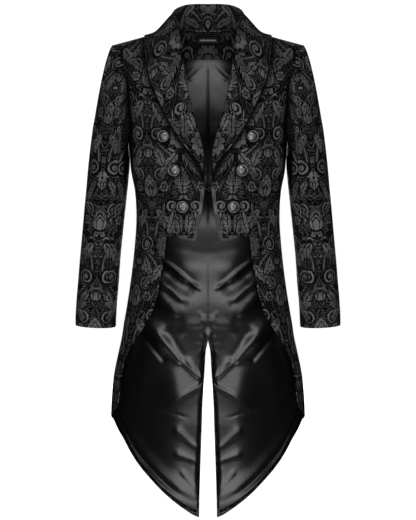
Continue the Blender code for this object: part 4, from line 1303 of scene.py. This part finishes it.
def node(tree, kind, settings=None, **entries):
    """A node with its settings and its inputs, whose names are written with _ for a space."""
    made = tree.nodes.new(kind)
    for setting, value in (settings or {}).items():
        setattr(made, setting, value)
    for entry, value in entries.items():
        feed(tree, made.inputs[entry.replace("_", " ")], value)
    return made


def new_look(name):
    """Empty material, its node tree and its shader."""
    look = bpy.data.materials.new(name)
    look.use_nodes = True
    tree = look.node_tree
    return look, tree, tree.nodes["Principled BSDF"]


def split(tree, place, axes):
    """Coordinates of a place in metres along the named axes, in millimetres."""
    parts = node(tree, "ShaderNodeSeparateXYZ", Vector=place)
    return [Reading(tree, parts.outputs[axis]) * 1000.0 for axis in axes]


def object_place(tree):
    """Place on the object in metres."""
    return node(tree, "ShaderNodeTexCoord").outputs["Object"]


def cloth_map(tree):
    """The cloth's own map in millimetres: across and up."""
    return split(tree, node(tree, "ShaderNodeUVMap", {"uv_map": "cloth"}).outputs[0], "XY")


def kept_number(tree, name):
    """The number marked at each point of the cloth under a name."""
    return Reading(tree, node(tree, "ShaderNodeAttribute", {"attribute_name": name}).outputs["Fac"])


def at_place(tree, across, up, depth=0.0):
    """Place for a texture from its coordinates."""
    return node(tree, "ShaderNodeCombineXYZ", X=across, Y=up, Z=depth).outputs[0]


def noise(tree, place, scale, detail=2.0, roughness=0.5, distortion=0.0):
    """Soft random pattern between 0 and 1."""
    sizes = {"Scale": scale, "Detail": detail, "Roughness": roughness, "Distortion": distortion}
    return Reading(tree, node(tree, "ShaderNodeTexNoise", Vector=place, **sizes).outputs[0])


def waves(distance, pitch):
    """Sine with one wave to each pitch."""
    return (distance * (2 * math.pi / pitch)).join("SINE")


def between(tree, value, low, high, start=0.0, end=1.0):
    """The value's place between low and high, kept inside them and carried over to start and end."""
    made = node(tree, "ShaderNodeMapRange", {"interpolation_type": "SMOOTHSTEP"})
    for entry, number in zip(made.inputs, (value, low, high, start, end)):
        feed(tree, entry, number)
    return Reading(tree, made.outputs[0])


def mixed(tree, share, one, two):
    """Colour that lies the given share of the way from one to two."""
    made = node(tree, "ShaderNodeMix", {"data_type": "RGBA"})
    for entry, value in zip((made.inputs[0], made.inputs[6], made.inputs[7]), (share, one, two)):
        feed(tree, entry, (*value, 1.0) if isinstance(value, tuple) else value)
    return made.outputs[2]


# The woven figure's repeat: its mirrored half and its height, in mm
TILE_HALF = 78.0
TILE_UP = 246.0
FIGURE_SCALE = 0.98
ECHO_STEP = 5.2
# Near-black of the figure's woven outline, also used for painted shade
OUTLINE_AND_SHADE = (0.0006, 0.0006, 0.0007)


def from_centre(across, up, centre):
    """Distances from a motif's centre, with the cloth's repeat upwards folded in."""
    return across - centre[0], (up - centre[1]).join("WRAP", TILE_UP / 2, -TILE_UP / 2)


def scroll(across, up, centre, radius, pitch, hand, turned, thick=(1.3, 3.4)):
    """Coiled stem: distance from an even spiral, thicker outwards, inside a circle and round a small bud."""
    x, y = from_centre(across, up, centre)
    r = (x * x + y * y).join("SQRT")
    angle = y.join("ARCTAN2", x * hand) / (2 * math.pi)
    phase = (r / pitch - angle + turned).join("FRACT")
    off = abs(phase - 0.5) * pitch
    width = r * ((thick[1] - thick[0]) / radius) + thick[0]
    coil = (width - off).least(-r + radius)
    return coil.most(-r + pitch * 0.55)


def acanthus(across, up, root, tilt, length, width, bend, lobes):
    """Serrated leaf: bowed axis, half width that swells and closes, notched lobes, and a rib that splits it."""
    x, y = from_centre(across, up, root)
    cosine, sine = math.cos(math.radians(tilt)), math.sin(math.radians(tilt))
    along = (x * cosine + y * sine) / length
    off = abs(y * cosine - x * sine + along * along * bend)
    saw = (along * lobes - off * (0.75 / width)).join("FRACT")
    full = ((along * (-along + 1.0)) * 4.0) ** 0.62
    edge = full * (saw * (0.45 * width) + 0.62 * width)
    leaf = (edge - off).least((saw - 0.09) * (length / lobes) + 0.2).least(off - 0.45) - 0.15
    return leaf.least(along * (-along + 1.0) * length)


def blossom(across, up, centre, radius, petals):
    """Open flower: rounded petals parted by fine lines round a ringed heart with stamens."""
    x, y = from_centre(across, up, centre)
    r, angle = (x * x + y * y).join("SQRT"), y.join("ARCTAN2", x)
    wave = abs((angle * (petals / 2)).join("COSINE"))
    rim = (wave**0.55) * (0.34 * radius) + 0.66 * radius
    flower = (rim - r).least(abs(r - 0.40 * radius) - 0.7)
    parting = (wave * r * 0.62 - 0.55).most(-r + 0.40 * radius)
    dots = abs((angle * petals).join("COSINE")) * 2.4 - 0.9
    heart = dots.most(abs(r - 0.27 * radius) - 1.6)
    return flower.least(parting).least(heart.most(-r + 0.12 * radius))


def tulip(across, up, centre, size):
    """Cup-shaped flower on the mirror line: round below, three points above, with two inner lines."""
    x, y = from_centre(across, up, centre)
    x = abs(x)
    bowl = -((x * x) * (1.0 / size) - y * 1.15)
    crest = (x * (3 * math.pi / size)).join("COSINE") * (0.22 * size) - y + 1.12 * size
    cup = (bowl * 0.5).least(crest * 0.8).least(-x + size * 0.92)
    inner = abs(x - (y * 0.22 + 0.18 * size)) - 0.55
    return cup.least(inner)


def vine(across, up, centre, swing, phase, width):
    """Band that winds upwards as a sine, with a line inside each edge."""
    angle = up * (2 * math.pi / TILE_UP) + phase
    bow = angle.join("SINE") * swing + (angle * 2.0).join("SINE") * (swing * 0.22)
    off = abs(across - bow - centre) * 0.82
    return (-off + width).least(abs(off - width * 0.52) - 0.42)


# Each motif with its place, its sizes in millimetres and its angles in degrees, and the ground cleared round it
MOTIFS = (
    (vine, (41.0, 24.0, 0.6, 4.6), 1.3),
    (vine, (22.0, -15.0, 2.3, 2.6), 0.9),
    (scroll, ((52.0, 6.0), 19.0, 9.6, 1.0, 0.18), 1.2),
    (scroll, ((24.0, 92.0), 15.0, 8.2, -1.0, 0.62), 1.2),
    (scroll, ((49.0, -84.0), 15.0, 8.4, -1.0, 0.35, (1.2, 4.2)), 1.1),
    (acanthus, ((66.0, 84.0), 232.0, 78.0, 14.5, 12.0, 6.0), 1.1),
    (acanthus, ((8.0, -36.0), -62.0, 70.0, 13.5, -14.0, 6.0), 1.1),
    (acanthus, ((38.0, 28.0), 118.0, 58.0, 11.0, 9.0, 5.0), 1.0),
    (acanthus, ((34.0, -66.0), 52.0, 52.0, 10.5, -8.0, 5.0), 1.0),
    (acanthus, ((0.0, -130.0), 90.0, 66.0, 15.0, 0.0, 7.0), 1.1),
    (acanthus, ((6.0, 30.0), 72.0, 44.0, 9.5, -6.0, 5.0), 1.0),
    (acanthus, ((62.0, -116.0), 60.0, 40.0, 9.0, 5.0, 4.0), 1.0),
    (blossom, ((0.0, 0.0), 27.0, 9.0), 1.3),
    (blossom, ((42.0, -112.0), 12.5, 6.0), 1.0),
    (tulip, ((TILE_HALF, 110.0), 19.0), 1.2),
    (tulip, ((TILE_HALF, -44.0), 13.0), 1.1),
)


def over(lower, upper, clearing):
    """One motif laid over the others, with a fine clearing of ground round it."""
    return lower.least(-upper - clearing).most(upper)


def damask_figure(tree, across, up):
    """Signed distance into the woven figure in mm: a mirrored repeat of scrolls, leaves and flowers."""
    fold = across.join("PINGPONG", TILE_HALF)
    sway = noise(tree, at_place(tree, fold * 0.022, up * 0.022, 5.0), 1.0, 1.0, 0.5)
    swell = noise(tree, at_place(tree, fold * 0.022 + 9.0, up * 0.022, 2.0), 1.0, 1.0, 0.5)
    ragged = noise(tree, at_place(tree, fold * 0.22, up * 0.22, 1.0), 1.0, 2.0, 0.55)
    fold = fold + (sway - 0.5) * 17.0 + (ragged - 0.5) * 5.4
    up = up + (swell - 0.5) * 17.0 - (ragged - 0.5) * 5.4
    curl = noise(tree, at_place(tree, fold * 0.028, up * 0.024), 1.0, 1.4, 0.45, 1.1)
    twigs = abs((curl * 6.5).join("FRACT") - 0.5) * -9.0 + 0.95
    sprigs = noise(tree, at_place(tree, fold * 0.05 + 40.0, up * 0.062), 1.0, 1.0, 0.5, 0.6) * 30.0 - 18.9
    figure = twigs.most(sprigs)
    for motif, sizes, clearing in MOTIFS:
        figure = over(figure, motif(fold, up, *sizes), clearing)
    return figure


def finish_look(tree, shader, tone, roughness, relief, strength):
    """Colour, roughness and a relief in millimetres for a shader."""
    feed(tree, shader.inputs["Base Color"], tone)
    feed(tree, shader.inputs["Roughness"], roughness)
    bump = node(tree, "ShaderNodeBump", Height=relief, Distance=MM, Strength=strength)
    feed(tree, shader.inputs["Normal"], bump.outputs[0])


def brocade_look():
    """Black jacquard: speckled matt ground, echo lines, smooth figure with a painted highlight inside its edge,
    dark outline, corded front edge, and painted shade in hollows, on turned edges and beside the lapel.
    """
    look, tree, shader = new_look("brocade")
    across, up = cloth_map(tree)
    figure = damask_figure(tree, across / FIGURE_SCALE, up / FIGURE_SCALE) * FIGURE_SCALE
    threads = noise(tree, at_place(tree, across * 0.32, up * 1.05), 1.0, 2.0, 0.62)
    slubs = noise(tree, at_place(tree, across * 0.10, up * 0.42, 3.0), 1.0, 3.0, 0.6)
    speckle = noise(tree, at_place(tree, across * 0.17, up * 0.40, 8.0), 1.0, 1.0, 0.7)
    patches = noise(tree, at_place(tree, across * 0.026, up * 0.022, 7.0), 1.0, 1.5, 0.5)
    raised = between(tree, figure, 0.05, 0.85)
    outline = between(tree, abs(figure + 0.3), 0.45, 1.5, 1.0, 0.0)
    rim = between(tree, abs(figure - 1.5), 0.4, 1.2, 1.0, 0.0)
    echo = abs((figure / ECHO_STEP).join("FRACT") - 0.5) * ECHO_STEP
    echo = between(tree, echo, 0.45, 1.2, 1.0, 0.0) * between(tree, -figure, 1.8, 2.6)
    echo = echo * between(tree, speckle, 0.34, 0.5)
    edge = kept_number(tree, "edge")
    corded = between(tree, abs(edge - 4.4), 3.5, 4.1, 1.0, 0.0)
    raised = raised.most(corded)
    sunk = -raised + 1.0
    outline = outline * (-corded + 1.0)
    grain = between(tree, speckle * 0.7 + threads * 0.3, 0.44, 0.64)
    ground_tone = mixed(tree, grain, (0.0002, 0.0002, 0.0003), (0.0600, 0.0603, 0.0610))
    ground_tone = mixed(tree, echo * 0.85, ground_tone, (0.0740, 0.0744, 0.0752))
    lit = between(tree, patches, 0.38, 0.62)
    figure_tone = mixed(tree, lit, (0.0600, 0.0604, 0.0612), (0.1800, 0.1806, 0.1820))
    worn = between(tree, slubs * 0.5 + speckle * 0.5, 0.42, 0.66, 0.0, 0.6)
    figure_tone = mixed(tree, worn, figure_tone, (0.0360, 0.0363, 0.0370))
    # Painted highlight: a band just inside the figure's edge is lightened
    figure_tone = mixed(tree, rim * 0.4, figure_tone, (0.2200, 0.2206, 0.2220))
    tone = mixed(tree, raised, ground_tone, figure_tone)
    tone = mixed(tree, outline * 0.92, tone, OUTLINE_AND_SHADE)
    # Painted shade: the colour darkens where other cloth lies close over it, in hollows, at seams and under the
    # lapel's edge
    nearby = node(tree, "ShaderNodeAmbientOcclusion", {"samples": 8}, Distance=24 * MM)
    painted_hollow_shade = between(tree, Reading(tree, nearby.outputs["AO"]), 0.78, 0.99, 0.97, 0.0)
    tone = mixed(tree, painted_hollow_shade, tone, (0.0004, 0.0004, 0.0005))
    # Painted shade on turned edges, and the lapel's painted shadow on the front
    turned = between(tree, edge, SHADED_TURN + 0.5, SHADED_TURN + 2.0, 0.93, 0.0)
    tone = mixed(tree, turned.most(kept_number(tree, "lapel_painted_shadow") * 0.97), tone, OUTLINE_AND_SHADE)
    shader.inputs["Specular IOR Level"].default_value = 0.07
    ribs, twill = waves(up, 0.9) * 0.5 + 0.5, waves(up + across, 0.7) * 0.5 + 0.5
    relief = raised * 0.18 - outline * 0.16 + (threads * (-raised * 0.75 + 1.0)) * 0.16
    relief = relief + grain * sunk * 0.12 + ribs * sunk * 0.05 + twill * raised * 0.02
    finish_look(tree, shader, tone, raised * -0.22 + threads * 0.16 + 0.70, relief, 0.9)
    return look


def satin_look():
    """Black satin lining: smooth gloss with a fine diagonal weave and faint ripples."""
    look, tree, shader = new_look("satin")
    across, up = cloth_map(tree)
    soft = noise(tree, at_place(tree, across * 0.02, up * 0.03), 1.0, 3.0, 0.55)
    fine = noise(tree, at_place(tree, across * 1.6, up * 0.22), 1.0, 2.0, 0.6)
    mottle = between(tree, soft * 0.7 + fine * 0.3, 0.32, 0.68)
    tone = mixed(tree, mottle, (0.0018, 0.0018, 0.0019), (0.0030, 0.0030, 0.0032))
    shader.inputs["Specular IOR Level"].default_value = 0.75
    twill = waves(up * 0.6 + across, 0.6) * 0.5 + 0.5
    aside, height = split(tree, object_place(tree), "XZ")
    above = (height - abs(aside) * 0.2 - LEAN_FOOT).join("SMOOTH_MAX", 0.0, 14.0)
    lean = above.join("SMOOTH_MIN", LEAN_HEAD - LEAN_FOOT, 24.0)
    relief = twill * 0.012 + fine * 0.02 + soft * 0.5 - lean * 0.24
    finish_look(tree, shader, tone, fine * 0.05 + soft * 0.05 + 0.19, relief, 0.5)
    return look


def label_look():
    """Woven label with no words: close black taffeta, satin selvedges and a plain row of lozenges."""
    look, tree, shader = new_look("label")
    across, up = cloth_map(tree)
    off_middle = abs(up - LABEL_MIDDLE)
    border = between(tree, off_middle, 6.0, 6.3)
    weave = waves(across, 0.5) * waves(up, 0.5)
    grain = noise(tree, at_place(tree, across, up * 2.0), 1.2, 2.0, 0.6)
    tone = mixed(tree, grain, (0.006, 0.006, 0.0065), (0.014, 0.014, 0.0145))
    tone = mixed(tree, border, tone, (0.045, 0.045, 0.046))
    lozenge = abs((across / 3.0).join("FRACT") - 0.5) * 3.0 + off_middle * 0.45
    row = between(tree, lozenge, 1.3, 1.7, 1.0, 0.0) * between(tree, abs(across), 19.5, 20.1, 1.0, 0.0)
    tone = mixed(tree, row, tone, (0.72, 0.72, 0.72))
    finish_look(tree, shader, tone, border * -0.22 + grain * 0.1 + 0.6, weave * 0.03 + border * 0.08, 0.7)
    return look


def old_silver_look():
    """Cast metal, bright on its crown and darkened in its hollows, with fine wear."""
    look, tree, shader = new_look("button")
    place = object_place(tree)
    hollow = Reading(tree, node(tree, "ShaderNodeNewGeometry").outputs["Pointiness"])
    patina = noise(tree, place, 260.0, 4.0, 0.6)
    scratch = noise(tree, place, 1500.0, 2.0, 0.6)
    open_metal = between(tree, hollow + patina * 0.10, 0.51, 0.58)
    tone = mixed(tree, open_metal, (0.008, 0.008, 0.0082), (0.34, 0.337, 0.333))
    shader.inputs["Metallic"].default_value = 1.0
    roughness = patina * 0.18 + open_metal * -0.10 + 0.33
    finish_look(tree, shader, tone, roughness, scratch * 0.02 + patina * 0.05, 0.5)
    return look


def wire_look():
    """Blackened steel wire."""
    look, tree, shader = new_look("wire")
    wear = noise(tree, object_place(tree), 900.0, 3.0, 0.6)
    tone = mixed(tree, between(tree, wear, 0.4, 0.7), (0.03, 0.03, 0.032), (0.16, 0.155, 0.15))
    feed(tree, shader.inputs["Base Color"], tone)
    feed(tree, shader.inputs["Roughness"], wear * 0.3 + 0.25)
    shader.inputs["Metallic"].default_value = 1.0
    return look


def add_camera():
    """The photograph's view: about chest height, looking slightly down at the coat's middle."""
    lens = bpy.data.cameras.new("view")
    lens.sensor_fit = "VERTICAL"
    lens.sensor_width = lens.sensor_height = 36
    lens.lens = VIEW_LENGTH * 36 / VIEW_HEIGHT
    lens.clip_end = 100
    camera = new_object("view", lens)
    camera.location = (0, -3.2, -0.2745)
    aim = Vector((0, 0, -0.4995)) - camera.location
    camera.rotation_euler = aim.to_track_quat("-Z", "Y").to_euler()
    bpy.context.scene.camera = camera


def add_light(name, place, aim, size, power):
    """Soft light from a rectangle, turned towards a point."""
    lamp = bpy.data.lights.new(name, "AREA")
    lamp.shape = "RECTANGLE"
    lamp.size, lamp.size_y = size
    lamp.energy = power
    made = new_object(name, lamp)
    made.location = place
    made.rotation_euler = (Vector(aim) - Vector(place)).to_track_quat("-Z", "Y").to_euler()
    made.visible_camera = False


def add_studio():
    """White surroundings, a pale floor and soft lights in front, at both sides and behind."""
    world = bpy.data.worlds.new("studio")
    bpy.context.scene.world = world
    world.use_nodes = True
    tree = world.node_tree
    seen = node(tree, "ShaderNodeLightPath").outputs["Is Camera Ray"]
    strength = node(tree, "ShaderNodeMapRange", Value=seen, To_Min=0.025, To_Max=1.1)
    background = tree.nodes["Background"]
    background.inputs["Color"].default_value = (1, 1, 1, 1)
    feed(tree, background.inputs["Strength"], strength.outputs[0])
    for light in LIGHTS:
        add_light(*light)
    look, tree, shader = new_look("floor")
    paper = noise(tree, object_place(tree), 6.0, 2.0)
    feed(tree, shader.inputs["Base Color"], mixed(tree, paper, (0.30, 0.30, 0.30), (0.34, 0.34, 0.34)))
    shader.inputs["Roughness"].default_value = 0.85
    shader.inputs["Emission Color"].default_value = (1, 1, 1, 1)
    shader.inputs["Emission Strength"].default_value = 1.0
    mesh = bpy.data.meshes.new("floor")
    corners = [(-30, -30, FLOOR), (30, -30, FLOOR), (30, 30, FLOOR), (-30, 30, FLOOR)]
    mesh.from_pydata(corners, [], [(0, 1, 2, 3)])
    mesh.materials.append(look)
    floor = new_object("floor", mesh)
    floor.visible_diffuse = floor.visible_glossy = floor.visible_shadow = False


LOOKS = {
    "brocade": brocade_look(),
    "satin": satin_look(),
    "label": label_look(),
    "button": old_silver_look(),
    "wire": wire_look(),
}
SKIN = body_skin()
ARMHOLE = armhole_line()

add_camera()
build_front()
build_side()
build_skirt()
build_back()
build_back_lining()
build_side_lining()
build_skirt_lining()
build_neck_facing()
build_label()
build_sleeves()
build_collar()
build_buttons()
build_hook_and_eye()
add_studio()
bpy.context.scene.view_settings.view_transform = "Standard"
